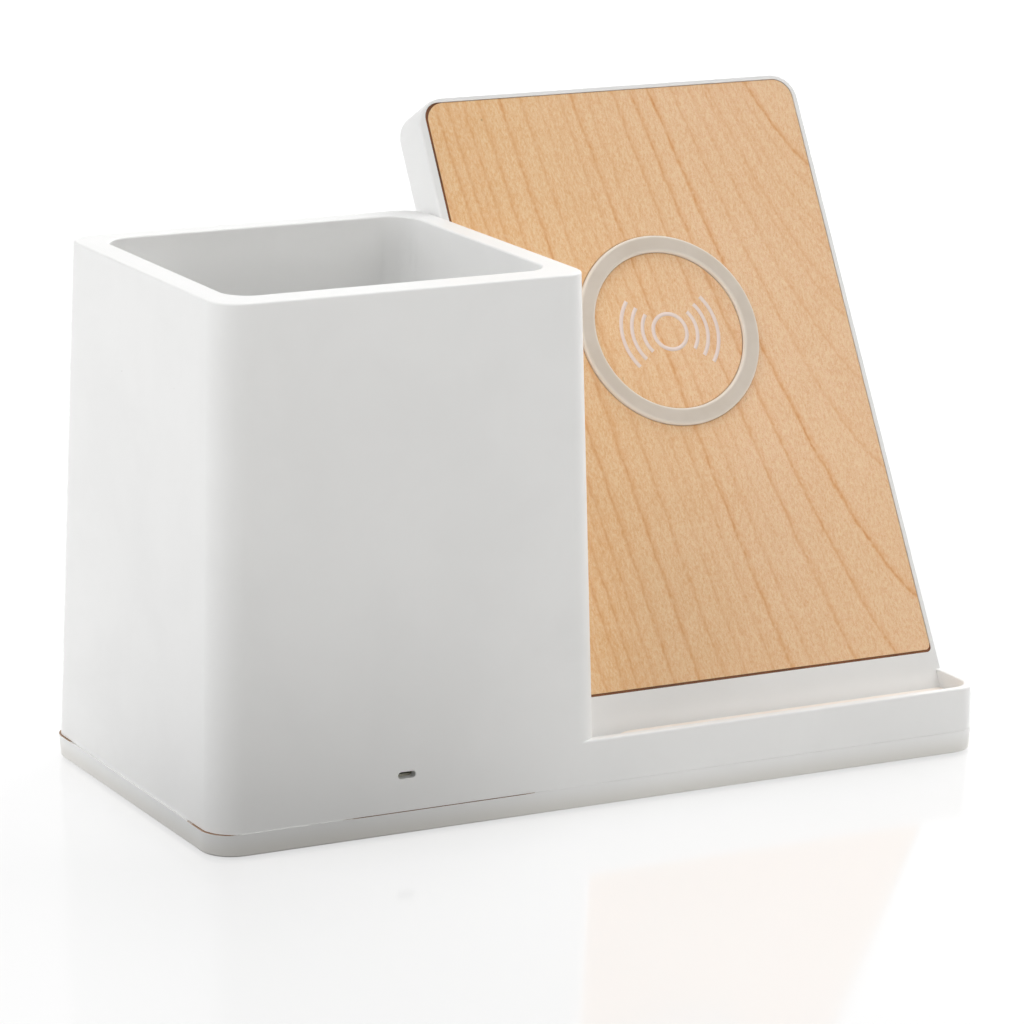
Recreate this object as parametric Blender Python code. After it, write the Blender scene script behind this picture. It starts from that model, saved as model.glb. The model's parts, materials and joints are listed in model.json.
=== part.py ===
# Desk organizer: a pen cup and a leaning wireless charging stand on one moulded base.
# Metres, +Z up. X runs along the front, -Y is the front, Z = 0 is the table under the rubber feet.
# The origin is the middle of the outline on the table.
import math

import bmesh
import bpy
from mathutils import Matrix, Vector

# Driving sizes. Heights are measured from the underside of the base tray,
# lengths from its left end and depths from its front edge.
BASE_LENGTH = 0.165
BASE_DEPTH = 0.0784
PARTING_HEIGHT = 0.0044
LIP_HEIGHT = 0.013
LEDGE_FLOOR_HEIGHT = 0.0097
CUP_HEIGHT = 0.1022
CUP_LENGTH = 0.0804
STAND_LEAN = math.radians(30.0)

# The walls draw in towards the rim of the cup by these amounts
DRAW_LEFT = 0.0025
DRAW_FRONT = 0.0030
DRAW_RIGHT = 0.0028
DRAW_BACK = 0.0030

# Upright corners and small edges
CORNER_RADIUS = 0.006
END_RADIUS = 0.0053
CUP_CORNER_RADIUS = 0.0052
RIM_ROUND = 0.0004
CORNER_STEPS = 8
ROUND_STEPS = 2

# Fits
CLEARANCE = 0.0003
GLUE_GAP = 0.0001
OVERRUN = 0.004

# Moulded walls
CUP_WALL = 0.0018
BASE_WALL = 0.002
RIM_PLATE = 0.0026

# Inside of the pen cup
RIM_LEFT = 0.0055
RIM_RIGHT = 0.0047
RIM_FRONT = 0.0067
RIM_BACK = 0.0050
CAVITY_CORNER_RADIUS = 0.0055
CAVITY_DRAW = 0.0015
CUP_FLOOR_HEIGHT = 0.0148
CUP_FLOOR_THICKNESS = 0.002
FLOOR_FILLET = 0.002

# Phone ledge in front of the stand
FRONT_LIP_WALL = 0.0017
SIDE_LIP_WALL = 0.0014
LEDGE_CORNER_RADIUS = 0.0039
LEDGE_PAD_THICKNESS = 0.0004
LEDGE_PAD_INSET = 0.0082
LEDGE_PAD_END_RADIUS = 0.0046
LEDGE_PAD_SMALL_RADIUS = 0.0006

# Leaning stand, measured on its own front face: across from its left side, up from the lip level
STAND_TUCK = 0.0027
STAND_SETBACK = 0.01474
STAND_LENGTH = 0.12775
STAND_THICKNESS = 0.0095
STAND_SIDE_STEP = 0.0001
STAND_CORNER_RADIUS = 0.0058
STAND_END_RADIUS = 0.0051
STAND_EDGE_ROUND = 0.001
RECESS_LEFT = 0.00235
RECESS_RIGHT = 0.0013
RECESS_TOP = 0.00105
RECESS_BOTTOM = 0.0036
RECESS_CORNER_RADIUS = 0.0035
RECESS_FOOT_RADIUS = 0.0004
PANEL_SEAT = 0.0035
STAND_BACK_WALL = 0.0025
RIB_WIDTH = 0.0016
CELL_RADIUS = 0.002
LEAD_NOTCH_WIDTH = 0.008

# Wooden panel
PANEL_THICKNESS = 0.002
PANEL_DROP = 0.00015
PANEL_GAP_LEFT = 0.0004
PANEL_GAP_RIGHT = 0.0002
PANEL_GAP_TOP = 0.0002
PANEL_GAP_BOTTOM = 0.0005
PANEL_CORNER_RADIUS = 0.0041
PANEL_FOOT_RADIUS = 0.0013
ADHESIVE_THICKNESS = 0.00015
ADHESIVE_MARGIN = 0.001

# Silicone ring round the charging spot. Its centre lies a little right of the stand's middle
RING_OFFSET = 0.0011
RING_UP_SHARE = 0.5894
RING_OUTER_RADIUS = 0.0199
RING_INNER_RADIUS = 0.0164
RING_PROUD = 0.0009
RING_SUNK = 0.0006
RING_EDGE = 0.0005
RING_STEPS = 48

# Charging coil and what carries it, inside the stand. Shares are of the stand's width,
# of the coil's outer radius and of the pitch between its turns
CELL_SHARE = 0.5734
COIL_INNER_SHARE = 0.46
WIRE_SHARE = 0.69
COIL_TURNS = 7
COIL_POINTS_PER_TURN = 24
COIL_MARGIN = 0.0018
FERRITE_MARGIN = 0.0025
FERRITE_THICKNESS = 0.0009
FERRITE_SLOT = 0.002
CARRIER_THICKNESS = 0.0012
CARRIER_RIM = 0.0012
CARRIER_RIM_HEIGHT = 0.0017
LEAD_WIRE = 0.0011
LEAD_SPACING = 0.0016
LEAD_STEPS = 6
LEAD_CLIMB = 0.005

# Base tray
TRAY_STEP_LEFT = 0.0003
TRAY_FLARE = 0.0002
TRAY_FLOOR = 0.0022
TRAY_TONGUE = 0.0012
TRAY_TONGUE_HEIGHT = 0.002
TRAY_EDGE_ROUND = 0.0005

# Rubber feet under the tray
FOOT_RADIUS = 0.005
FOOT_THICKNESS = 0.0014
FOOT_PROUD = 0.0004
FOOT_EDGE = 0.0003
FOOT_INSET_X = 0.011
FOOT_INSET_Y = 0.010
FOOT_SIDES = 32

# Screws that hold the tray, in bosses that hang from the housing
SCREW_LEFT_INSET = 0.014
SCREW_RIGHT_INSET = 0.015
SCREW_INSET_Y = 0.020
BOSS_RADIUS = 0.0032
PILOT_RADIUS = 0.0011
SCREW_SHANK_RADIUS = 0.0008
SCREW_HEAD_RADIUS = 0.0024
SCREW_HEAD_HEIGHT = 0.0012
SCREW_LENGTH = 0.0055
SCREW_HOLE_RADIUS = 0.0014
SCREW_SINK = 0.0002
DRIVE_RADIUS = 0.0009
DRIVE_DEPTH = 0.0006
DRIVE_SIDES = 6
SCREW_SIDES = 16
PILOT_ROOF = 0.001

# Circuit board under the cup
BOARD_SHARE = 0.4478
BOARD_THICKNESS = 0.0012
BOARD_FRONT = 0.006
BOARD_BACK_GAP = 0.0039
BOARD_HEIGHT = 0.007
BOARD_CORNER = 0.0015
POST_RADIUS = 0.0024
POST_INSET = 0.0035
BOARD_HOLE_RADIUS = 0.0012
BOARD_SCREW_LENGTH = 0.0035

# Power inlet at the back, on the rear edge of the board
INLET_WIDTH = 0.0089
INLET_HEIGHT = 0.0032
INLET_DEPTH = 0.0073
INLET_WALL = 0.0003
INLET_TONGUE_WIDTH = 0.0067
INLET_TONGUE_HEIGHT = 0.0007
INLET_TONGUE_DEPTH = 0.0052
INLET_PLUG_DEPTH = 0.0015
INLET_SINK = 0.0004

# Indicator at the front
LAMP_SHARE = 0.4851
LAMP_HEIGHT_AT = 0.01126
LAMP_SLOT_WIDTH = 0.0036
LAMP_SLOT_HEIGHT = 0.0013
LAMP_WIDTH = 0.0016
LAMP_DEPTH = 0.0008
LAMP_HEIGHT = 0.0006
GUIDE_WIDTH = 0.0044
GUIDE_DEPTH = 0.0034
GUIDE_HEIGHT = 0.0024
GUIDE_LEG = 0.0009
GUIDE_SINK = 0.0007

# Parts on the board: length, depth and height of each
CONTROL_CHIP = 0.005
CHIP_HEIGHT = 0.0009
DRIVER_CHIP_LENGTH = 0.005
DRIVER_CHIP_DEPTH = 0.006
COIL_CHOKE = 0.0066
COIL_CHOKE_HEIGHT = 0.0028
CAPACITOR_LENGTH = 0.0032
CAPACITOR_DEPTH = 0.0025
CAPACITOR_HEIGHT = 0.0022
CAPACITOR_SPACING = 0.0036
CAPACITOR_COUNT = 4
PART_EDGE = 0.0002

# Worked out from the sizes above
TILT = Matrix.Rotation(-STAND_LEAN, 4, "X")
STAND_SLOPE = math.tan(STAND_LEAN)
STAND_FOOT = (LIP_HEIGHT - LEDGE_FLOOR_HEIGHT + BASE_WALL / 2) / math.cos(STAND_LEAN)
PANEL_RECESS = PANEL_DROP + PANEL_THICKNESS + ADHESIVE_THICKNESS + 2 * GLUE_GAP
STAND_LEFT = CUP_LENGTH - STAND_TUCK
STAND_WIDTH = BASE_LENGTH - STAND_SIDE_STEP - STAND_LEFT
TOTAL_LENGTH = BASE_LENGTH + TRAY_STEP_LEFT
STAND_BACK_REACH = (
    STAND_SETBACK
    + STAND_LENGTH * math.sin(STAND_LEAN)
    + STAND_THICKNESS * math.cos(STAND_LEAN)
    - STAND_EDGE_ROUND * (math.sin(STAND_LEAN) + math.cos(STAND_LEAN) - 1)
)
TOTAL_DEPTH = STAND_BACK_REACH
LEFT = TRAY_STEP_LEFT - TOTAL_LENGTH / 2
FRONT = -TOTAL_DEPTH / 2
RING_ACROSS = STAND_WIDTH / 2 + RING_OFFSET
RING_CENTRE_UP = STAND_LENGTH * RING_UP_SHARE
CELL_BACK = STAND_THICKNESS - STAND_BACK_WALL
COIL_CELL = STAND_WIDTH * CELL_SHARE
FERRITE_RADIUS = COIL_CELL / 2 - FERRITE_MARGIN
COIL_OUTER_RADIUS = FERRITE_RADIUS - COIL_MARGIN
COIL_INNER_RADIUS = COIL_OUTER_RADIUS * COIL_INNER_SHARE
COIL_PITCH = (COIL_OUTER_RADIUS - COIL_INNER_RADIUS) / COIL_TURNS
COIL_WIRE = COIL_PITCH * WIRE_SHARE
BOARD_TOP = BOARD_HEIGHT + BOARD_THICKNESS
CUP_FLOOR_UNDER = CUP_FLOOR_HEIGHT - CUP_FLOOR_THICKNESS
LEDGE_ROOF = LEDGE_FLOOR_HEIGHT - BASE_WALL
DECK_ROOF = LIP_HEIGHT - BASE_WALL
LAMP_LENGTH_AT = CUP_LENGTH * LAMP_SHARE
BOARD_LENGTH = CUP_LENGTH * BOARD_SHARE
BOARD_LEFT = LAMP_LENGTH_AT - BOARD_LENGTH / 2
BOARD_BACK = BASE_DEPTH - BOARD_BACK_GAP
LEDGE_PAD_START = CUP_LENGTH + LEDGE_PAD_INSET


def at(length, depth, height):
    """World place of a point given from the tray's left end, front edge and underside."""
    return Vector((LEFT + length, FRONT + depth, FOOT_PROUD + height))


def left_wall(height):
    return DRAW_LEFT * height / CUP_HEIGHT


def front_wall(height):
    return DRAW_FRONT * height / CUP_HEIGHT


def right_wall(height):
    return CUP_LENGTH - DRAW_RIGHT * height / CUP_HEIGHT


def back_wall(height):
    return BASE_DEPTH - DRAW_BACK * height / CUP_HEIGHT


STAND_FRAME = Matrix.Translation(at(STAND_LEFT, STAND_SETBACK, LIP_HEIGHT)) @ TILT


def clear_scene():
    for item in list(bpy.data.objects):
        bpy.data.objects.remove(item)
    for group in list(bpy.data.collections):
        bpy.data.collections.remove(group)


def make_collection(name):
    group = bpy.data.collections.new(name)
    bpy.context.scene.collection.children.link(group)
    return group


clear_scene()
PARTS = make_collection("wireless_charger_pen_holder")
CUTTERS = make_collection("cutters")


def material(name, colour, roughness, metallic=0.0):
    finish = bpy.data.materials.new(name)
    finish.use_nodes = True
    shader = finish.node_tree.nodes["Principled BSDF"]
    shader.inputs["Base Color"].default_value = (*colour, 1.0)
    shader.inputs["Roughness"].default_value = roughness
    shader.inputs["Metallic"].default_value = metallic
    return finish


WHITE_PLASTIC = material("white_plastic", (0.86, 0.86, 0.85), 0.42)
MAPLE = material("maple", (0.74, 0.50, 0.29), 0.5)
SILICONE = material("grey_silicone", (0.62, 0.58, 0.53), 0.6)
CREAM_SILICONE = material("cream_silicone", (0.82, 0.72, 0.60), 0.6)
ADHESIVE = material("adhesive", (0.28, 0.16, 0.07), 0.7)
RUBBER = material("rubber", (0.05, 0.05, 0.05), 0.85)
COPPER = material("coil_copper", (0.72, 0.36, 0.18), 0.35, 1.0)
FERRITE = material("ferrite", (0.07, 0.07, 0.075), 0.65)
BLACK_PLASTIC = material("black_plastic", (0.03, 0.03, 0.03), 0.5)
STEEL = material("steel", (0.60, 0.60, 0.62), 0.3, 1.0)
BOARD_GREEN = material("board_green", (0.02, 0.16, 0.08), 0.45)
CHIP_BLACK = material("chip_black", (0.025, 0.025, 0.028), 0.5)
CERAMIC = material("ceramic", (0.42, 0.30, 0.20), 0.5)
CLEAR_PLASTIC = material("clear_plastic", (0.85, 0.88, 0.88), 0.15)
LAMP_WHITE = material("lamp_white", (0.9, 0.9, 0.75), 0.35)
WIRE_SLEEVE = material("wire_sleeve", (0.55, 0.05, 0.04), 0.55)


def place(name, bm, finish, frame=None):
    """Makes one object of a mesh, in the parts' collection or, with no finish, among the cutters."""
    if frame is not None:
        bm.transform(frame)
    bmesh.ops.recalc_face_normals(bm, faces=bm.faces)
    mesh = bpy.data.meshes.new(name)
    bm.to_mesh(mesh)
    bm.free()
    item = bpy.data.objects.new(name, mesh)
    if finish is None:
        CUTTERS.objects.link(item)
        item.hide_render = True
        item.display_type = "WIRE"
    else:
        mesh.materials.append(finish)
        PARTS.objects.link(item)
    return item


def round_off(item, angle=math.radians(30)):
    item.data.shade_smooth()
    item.data.set_sharp_from_angle(angle=angle)


def combine(item, tool, operation):
    step = item.modifiers.new(tool.name, "BOOLEAN")
    step.operation = operation
    step.solver = "EXACT"
    step.object = tool


def quarter(radius, steps, inward):
    """Height and inset of each step of a quarter round, from its foot to its top."""
    levels = []
    for k in range(steps + 1):
        turn = math.pi / 2 * k / steps
        rise = radius * math.sin(turn)
        inset = radius * (1 - math.cos(turn))
        levels.append((rise, inset if inward else -inset))
    return levels


def stacked_block(levels, radii, steps=CORNER_STEPS):
    """A block with rounded upright corners, extruded level by level.
    A level is (height, left, right, front, back); radii are front left, front right, back right, back left."""
    bm = bmesh.new()
    bmesh.ops.create_cube(bm, size=1.0)
    low, high = levels[0], levels[1]
    middle_x = (low[1] + low[2]) / 2
    middle_y = (low[3] + low[4]) / 2
    for vertex in bm.verts:
        level = high if vertex.co.z > 0 else low
        x = level[2] if vertex.co.x > 0 else level[1]
        y = level[4] if vertex.co.y > 0 else level[3]
        vertex.co = (x, y, level[0])
    for radius, right, back in zip(radii, (False, True, True, False), (False, False, True, True)):
        uprights = []
        for edge in bm.edges:
            a, b = edge.verts
            if abs(a.co.z - b.co.z) < abs(high[0] - low[0]) / 2:
                continue
            centre = (a.co + b.co) / 2
            if (centre.x > middle_x) == right and (centre.y > middle_y) == back:
                uprights.append(edge)
        corner = max(uprights, key=lambda e: abs((e.verts[0].co + e.verts[1].co).x / 2 - middle_x)
                     + abs((e.verts[0].co + e.verts[1].co).y / 2 - middle_y))
        bmesh.ops.bevel(bm, geom=[corner], offset=radius, segments=steps, profile=0.5, affect="EDGES")
    top = max(bm.faces, key=lambda f: (f.normal.z if high[0] > low[0] else -f.normal.z, f.calc_area()))
    for before, after in zip(levels[1:], levels[2:]):
        covered = top
        grown = bmesh.ops.extrude_face_region(bm, geom=[covered])["geom"]
        top = [item for item in grown if isinstance(item, bmesh.types.BMFace)][0]
        if covered.is_valid:
            bm.faces.remove(covered)
        for vertex in top.verts:
            vertex.co.x += (after[2] - before[2]) if vertex.co.x > middle_x else (after[1] - before[1])
            vertex.co.y += (after[4] - before[4]) if vertex.co.y > middle_y else (after[3] - before[3])
            vertex.co.z = after[0]
    return bm


def inset_level(height, level, inset):
    """A level at another height, drawn in on all sides."""
    return (height, level[1] + inset, level[2] - inset, level[3] + inset, level[4] - inset)


def body_level(height, inset=0.0, right=None):
    """The outline of the cup's walls at a height; right gives another right-hand end."""
    end = right_wall(height) if right is None else right
    return (height, left_wall(height) + inset, end - inset, front_wall(height) + inset,
            back_wall(height) - inset)


def to_world():
    return Matrix.Translation(at(0, 0, 0))


def drum(radius, low, high, sides, centre=(0.0, 0.0)):
    """An upright cylinder between two heights."""
    bm = bmesh.new()
    bmesh.ops.create_cone(bm, cap_ends=True, segments=sides, radius1=radius, radius2=radius,
                          depth=high - low)
    bmesh.ops.translate(bm, verts=bm.verts, vec=(centre[0], centre[1], (low + high) / 2))
    return bm


def box(x0, x1, y0, y1, z0, z1):
    bm = bmesh.new()
    bmesh.ops.create_cube(bm, size=1.0)
    for vertex in bm.verts:
        vertex.co.x = x1 if vertex.co.x > 0 else x0
        vertex.co.y = y1 if vertex.co.y > 0 else y0
        vertex.co.z = z1 if vertex.co.z > 0 else z0
    return bm


def rounded_plate(across, up, depth, radii, steps=CORNER_STEPS):
    """A plate in the stand's own frame: across, up and depth are (from, to); radii run
    low left, low right, high right, high left."""
    bm = box(across[0], across[1], depth[0], depth[1], up[0], up[1])
    middle_x = (across[0] + across[1]) / 2
    middle_z = (up[0] + up[1]) / 2
    for radius, right, high in zip(radii, (False, True, True, False), (False, False, True, True)):
        through = []
        for edge in bm.edges:
            a, b = edge.verts
            centre = (a.co + b.co) / 2
            if abs(a.co.y - b.co.y) < (depth[1] - depth[0]) / 2:
                continue
            if (centre.x > middle_x) == right and (centre.z > middle_z) == high:
                through.append(edge)
        corner = max(through, key=lambda e: abs(e.verts[0].co.x - middle_x) + abs(e.verts[0].co.z - middle_z))
        bmesh.ops.bevel(bm, geom=[corner], offset=radius, segments=steps, profile=0.5, affect="EDGES")
    return bm


def merge(blocks):
    """Several meshes in one, as separate bodies."""
    whole = bmesh.new()
    for block in blocks:
        mesh = bpy.data.meshes.new("piece")
        block.to_mesh(mesh)
        block.free()
        whole.from_mesh(mesh)
        bpy.data.meshes.remove(mesh)
    return whole


def screw_places():
    """Length and depth of each screw that holds the tray."""
    lengths = (SCREW_LEFT_INSET, BASE_LENGTH - SCREW_RIGHT_INSET)
    return [(x, y) for x in lengths for y in (SCREW_INSET_Y, BASE_DEPTH - SCREW_INSET_Y)]


def post_places():
    """Length and depth of each post that carries the board."""
    xs = (BOARD_LEFT + POST_INSET, BOARD_LEFT + BOARD_LENGTH - POST_INSET)
    ys = (BOARD_FRONT + POST_INSET + CUP_CORNER_RADIUS, BOARD_BACK - POST_INSET - CUP_CORNER_RADIUS)
    return [(x, y) for x in xs for y in ys]


def boss_roof(place_xy):
    """Height of what a boss hangs from: the cup's floor, the ledge or the rear deck."""
    if place_xy[0] < CUP_LENGTH:
        return CUP_FLOOR_UNDER
    if place_xy[1] > STAND_SETBACK + STAND_THICKNESS / math.cos(STAND_LEAN) + BASE_WALL:
        return DECK_ROOF
    return LEDGE_ROOF


def cavity_level(height, inset=0.0):
    """The inside of the pen cup at a height, drawn in towards its floor."""
    share = (CUP_HEIGHT - height) / (CUP_HEIGHT - CUP_FLOOR_HEIGHT)
    draw = CAVITY_DRAW * share + inset
    return (
        height,
        left_wall(CUP_HEIGHT) + RIM_LEFT + draw,
        right_wall(CUP_HEIGHT) - RIM_RIGHT - draw,
        front_wall(CUP_HEIGHT) + RIM_FRONT + draw,
        back_wall(CUP_HEIGHT) - RIM_BACK - draw,
    )


def cup_block():
    """The outside of the cup, from the parting line to its rounded rim."""
    levels = [body_level(PARTING_HEIGHT + CLEARANCE / 2), body_level(LIP_HEIGHT)]
    for rise, inset in quarter(RIM_ROUND, ROUND_STEPS, True):
        levels.append(body_level(CUP_HEIGHT - RIM_ROUND + rise, inset))
    radii = (CORNER_RADIUS, CUP_CORNER_RADIUS, CUP_CORNER_RADIUS, CORNER_RADIUS)
    return stacked_block(levels, radii)


def base_block():
    """The low base, from the middle of the cup to the right-hand end."""
    start = CUP_LENGTH / 2
    levels = []
    for height in (PARTING_HEIGHT + CLEARANCE / 2, LIP_HEIGHT):
        level = body_level(height, right=BASE_LENGTH)
        levels.append((height, start, level[2], level[3], level[4]))
    return stacked_block(levels, (RIM_ROUND, END_RADIUS, END_RADIUS, RIM_ROUND))


def ledge_cutter():
    """The trough in front of the stand, open to the left where the cup's wall closes it."""
    low = front_wall(LEDGE_FLOOR_HEIGHT) + FRONT_LIP_WALL
    high = front_wall(LIP_HEIGHT) + FRONT_LIP_WALL
    left = (CUP_LENGTH + LAMP_LENGTH_AT) / 2
    right = BASE_LENGTH - SIDE_LIP_WALL
    back = STAND_SETBACK + STAND_THICKNESS / 2
    over = LIP_HEIGHT + OVERRUN
    levels = [
        (LEDGE_FLOOR_HEIGHT, left, right, low, back),
        (over, left, right, high, back),
    ]
    return stacked_block(levels, (RIM_ROUND, LEDGE_CORNER_RADIUS, RIM_ROUND, RIM_ROUND))


def stand_block():
    """The leaning slab, with its foot sunk in the base."""
    top_radii = (RIM_ROUND, RIM_ROUND, STAND_END_RADIUS, STAND_CORNER_RADIUS)
    bm = rounded_plate((0, STAND_WIDTH), (-STAND_FOOT, STAND_LENGTH), (0, STAND_THICKNESS), top_radii)
    for vertex in bm.verts:
        if vertex.co.z < 0:
            vertex.co.z += vertex.co.y * STAND_SLOPE
    rim = []
    for edge in bm.edges:
        a, b = edge.verts
        if abs(a.co.y - b.co.y) < STAND_THICKNESS / 2 and max(a.co.z, b.co.z) > 0:
            if len(edge.link_faces) == 2 and abs(edge.calc_face_angle()) > STAND_LEAN:
                rim.append(edge)
    bmesh.ops.bevel(bm, geom=rim, offset=STAND_EDGE_ROUND, segments=ROUND_STEPS + 1, profile=0.5,
                    affect="EDGES")
    return bm


def void_cutter():
    """The space between the cup's outer walls and its inner tub, open below."""
    under = PARTING_HEIGHT - OVERRUN
    roof = CUP_HEIGHT - RIM_PLATE
    tub_top = cavity_level(roof, -CUP_WALL)
    tub_foot = cavity_level(CUP_FLOOR_UNDER, -CUP_WALL)
    levels = [body_level(under, CUP_WALL), body_level(roof, CUP_WALL), tub_top, tub_foot]
    radii = (CORNER_RADIUS - CUP_WALL, CUP_CORNER_RADIUS - CUP_WALL) * 2
    radii = (radii[0], radii[1], radii[1], radii[0])
    return stacked_block(levels, radii)


def cavity_cutter():
    """The pen cup's inside, with a filleted floor and an eased mouth."""
    levels = []
    for rise, inset in quarter(FLOOR_FILLET, ROUND_STEPS, True):
        levels.insert(0, cavity_level(CUP_FLOOR_HEIGHT + FLOOR_FILLET - rise, inset))
    for rise, inset in quarter(RIM_ROUND, ROUND_STEPS, False):
        levels.append(cavity_level(CUP_HEIGHT - RIM_ROUND + rise, inset))
    mouth = levels[-1]
    levels.append((CUP_HEIGHT + OVERRUN, *mouth[1:]))
    return stacked_block(levels, (CAVITY_CORNER_RADIUS,) * 4)


def base_cutter():
    """The hollow under the ledge, open below."""
    low = PARTING_HEIGHT - OVERRUN
    level = body_level(LEDGE_ROOF, right=BASE_LENGTH)
    ends = (CUP_LENGTH - 3 * BASE_WALL, BASE_LENGTH - BASE_WALL, level[3] + BASE_WALL, level[4] - BASE_WALL)
    levels = [(low, *ends), (LEDGE_ROOF, *ends)]
    inner = END_RADIUS - BASE_WALL
    return stacked_block(levels, (RIM_ROUND, inner, inner, RIM_ROUND))


def deck_cutter():
    """The higher hollow under the rear deck, behind the foot of the stand."""
    front = STAND_SETBACK + STAND_THICKNESS / math.cos(STAND_LEAN) + BASE_WALL
    level = body_level(DECK_ROOF, right=BASE_LENGTH)
    ends = (CUP_LENGTH + BASE_WALL, BASE_LENGTH - 2 * BASE_WALL, front, level[4] - 2 * BASE_WALL)
    levels = [(PARTING_HEIGHT, *ends), (DECK_ROOF, *ends)]
    inner = END_RADIUS - BASE_WALL
    return stacked_block(levels, (RIM_ROUND, RIM_ROUND, inner, RIM_ROUND))


def recess_span():
    """Across and up spans of the recess for the wooden panel."""
    return (RECESS_LEFT, STAND_WIDTH - RECESS_RIGHT), (RECESS_BOTTOM, STAND_LENGTH - RECESS_TOP)


def recess_cutter():
    across, up = recess_span()
    radii = (RECESS_FOOT_RADIUS, RECESS_FOOT_RADIUS, RECESS_CORNER_RADIUS, RECESS_CORNER_RADIUS)
    return rounded_plate(across, up, (-OVERRUN, PANEL_RECESS), radii)


def cell_cutters():
    """Pockets behind the panel: three columns and three rows with ribs between them."""
    across, up = recess_span()
    half = COIL_CELL / 2
    columns = (
        (across[0] + PANEL_SEAT, RING_ACROSS - half - RIB_WIDTH),
        (RING_ACROSS - half, RING_ACROSS + half),
        (RING_ACROSS + half + RIB_WIDTH, across[1] - PANEL_SEAT),
    )
    rows = (
        (up[0] + PANEL_SEAT, RING_CENTRE_UP - half - RIB_WIDTH),
        (RING_CENTRE_UP - half, RING_CENTRE_UP + half),
        (RING_CENTRE_UP + half + RIB_WIDTH, up[1] - PANEL_SEAT),
    )
    depth = (PANEL_RECESS - GLUE_GAP, CELL_BACK)
    blocks = []
    for column in columns:
        for row in rows:
            blocks.append(rounded_plate(column, row, depth, (CELL_RADIUS,) * 4, 3))
    return merge(blocks)


def lead_cutter():
    """The way for the coil's leads: through the rib under the coil and down into the base."""
    half = LEAD_NOTCH_WIDTH / 2
    foot = -(LIP_HEIGHT - LEDGE_ROOF) / math.cos(STAND_LEAN) - STAND_EDGE_ROUND
    front = PANEL_RECESS + STAND_EDGE_ROUND
    top = RING_CENTRE_UP - COIL_CELL / 2 + RIB_WIDTH
    return box(RING_ACROSS - half, RING_ACROSS + half, front, CELL_BACK - GLUE_GAP, foot, top)


def boss_blocks():
    blocks = []
    for spot in screw_places():
        blocks.append(drum(BOSS_RADIUS, TRAY_FLOOR + CLEARANCE, boss_roof(spot) + GLUE_GAP, SCREW_SIDES, spot))
    for spot in post_places():
        blocks.append(drum(POST_RADIUS, BOARD_TOP + CLEARANCE, CUP_FLOOR_UNDER + GLUE_GAP, SCREW_SIDES, spot))
    return merge(blocks)


def pilot_cutters():
    blocks = []
    for spot in screw_places():
        blocks.append(drum(PILOT_RADIUS, TRAY_FLOOR - OVERRUN, boss_roof(spot) - PILOT_ROOF / 2, SCREW_SIDES, spot))
    for spot in post_places():
        blocks.append(drum(PILOT_RADIUS, BOARD_TOP - OVERRUN, CUP_FLOOR_UNDER, SCREW_SIDES, spot))
    return merge(blocks)


def slot_cutter(width, height, length_at, height_at, y0, y1):
    """A slot with round ends, run through a wall from depth y0 to y1."""
    half_w, half_h = width / 2, height / 2
    return rounded_plate((length_at - half_w, length_at + half_w), (height_at - half_h, height_at + half_h),
                         (y0, y1), (half_h * 0.98,) * 4, 4)


def inlet_height():
    return BOARD_TOP + GLUE_GAP + INLET_HEIGHT / 2


def make_housing():
    body = place("housing", cup_block(), WHITE_PLASTIC, to_world())
    base = place("base_form", base_block(), None, to_world())
    trough = place("ledge_trough", ledge_cutter(), None, to_world())
    combine(base, trough, "DIFFERENCE")
    combine(body, base, "UNION")
    combine(body, place("stand_form", stand_block(), None, STAND_FRAME), "UNION")
    combine(body, place("cup_cavity", cavity_cutter(), None, to_world()), "DIFFERENCE")
    combine(body, place("cup_void", void_cutter(), None, to_world()), "DIFFERENCE")
    combine(body, place("base_hollow", base_cutter(), None, to_world()), "DIFFERENCE")
    combine(body, place("deck_hollow", deck_cutter(), None, to_world()), "DIFFERENCE")
    combine(body, place("panel_recess", recess_cutter(), None, STAND_FRAME), "DIFFERENCE")
    combine(body, place("stand_cells", cell_cutters(), None, STAND_FRAME), "DIFFERENCE")
    combine(body, place("lead_way", lead_cutter(), None, STAND_FRAME), "DIFFERENCE")
    combine(body, place("bosses", boss_blocks(), None, to_world()), "UNION")
    combine(body, place("pilot_holes", pilot_cutters(), None, to_world()), "DIFFERENCE")
    lamp = slot_cutter(LAMP_SLOT_WIDTH, LAMP_SLOT_HEIGHT, LAMP_LENGTH_AT, LAMP_HEIGHT_AT, -OVERRUN, 2 * CUP_WALL)
    combine(body, place("lamp_slot", lamp, None, to_world()), "DIFFERENCE")
    mouth_width = INLET_WIDTH + 2 * CLEARANCE
    mouth_height = INLET_HEIGHT + 2 * CLEARANCE
    mouth = slot_cutter(mouth_width, mouth_height, LAMP_LENGTH_AT, inlet_height(),
                        BASE_DEPTH - 3 * CUP_WALL, BASE_DEPTH + OVERRUN)
    combine(body, place("inlet_mouth", mouth, None, to_world()), "DIFFERENCE")
    return body


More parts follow.
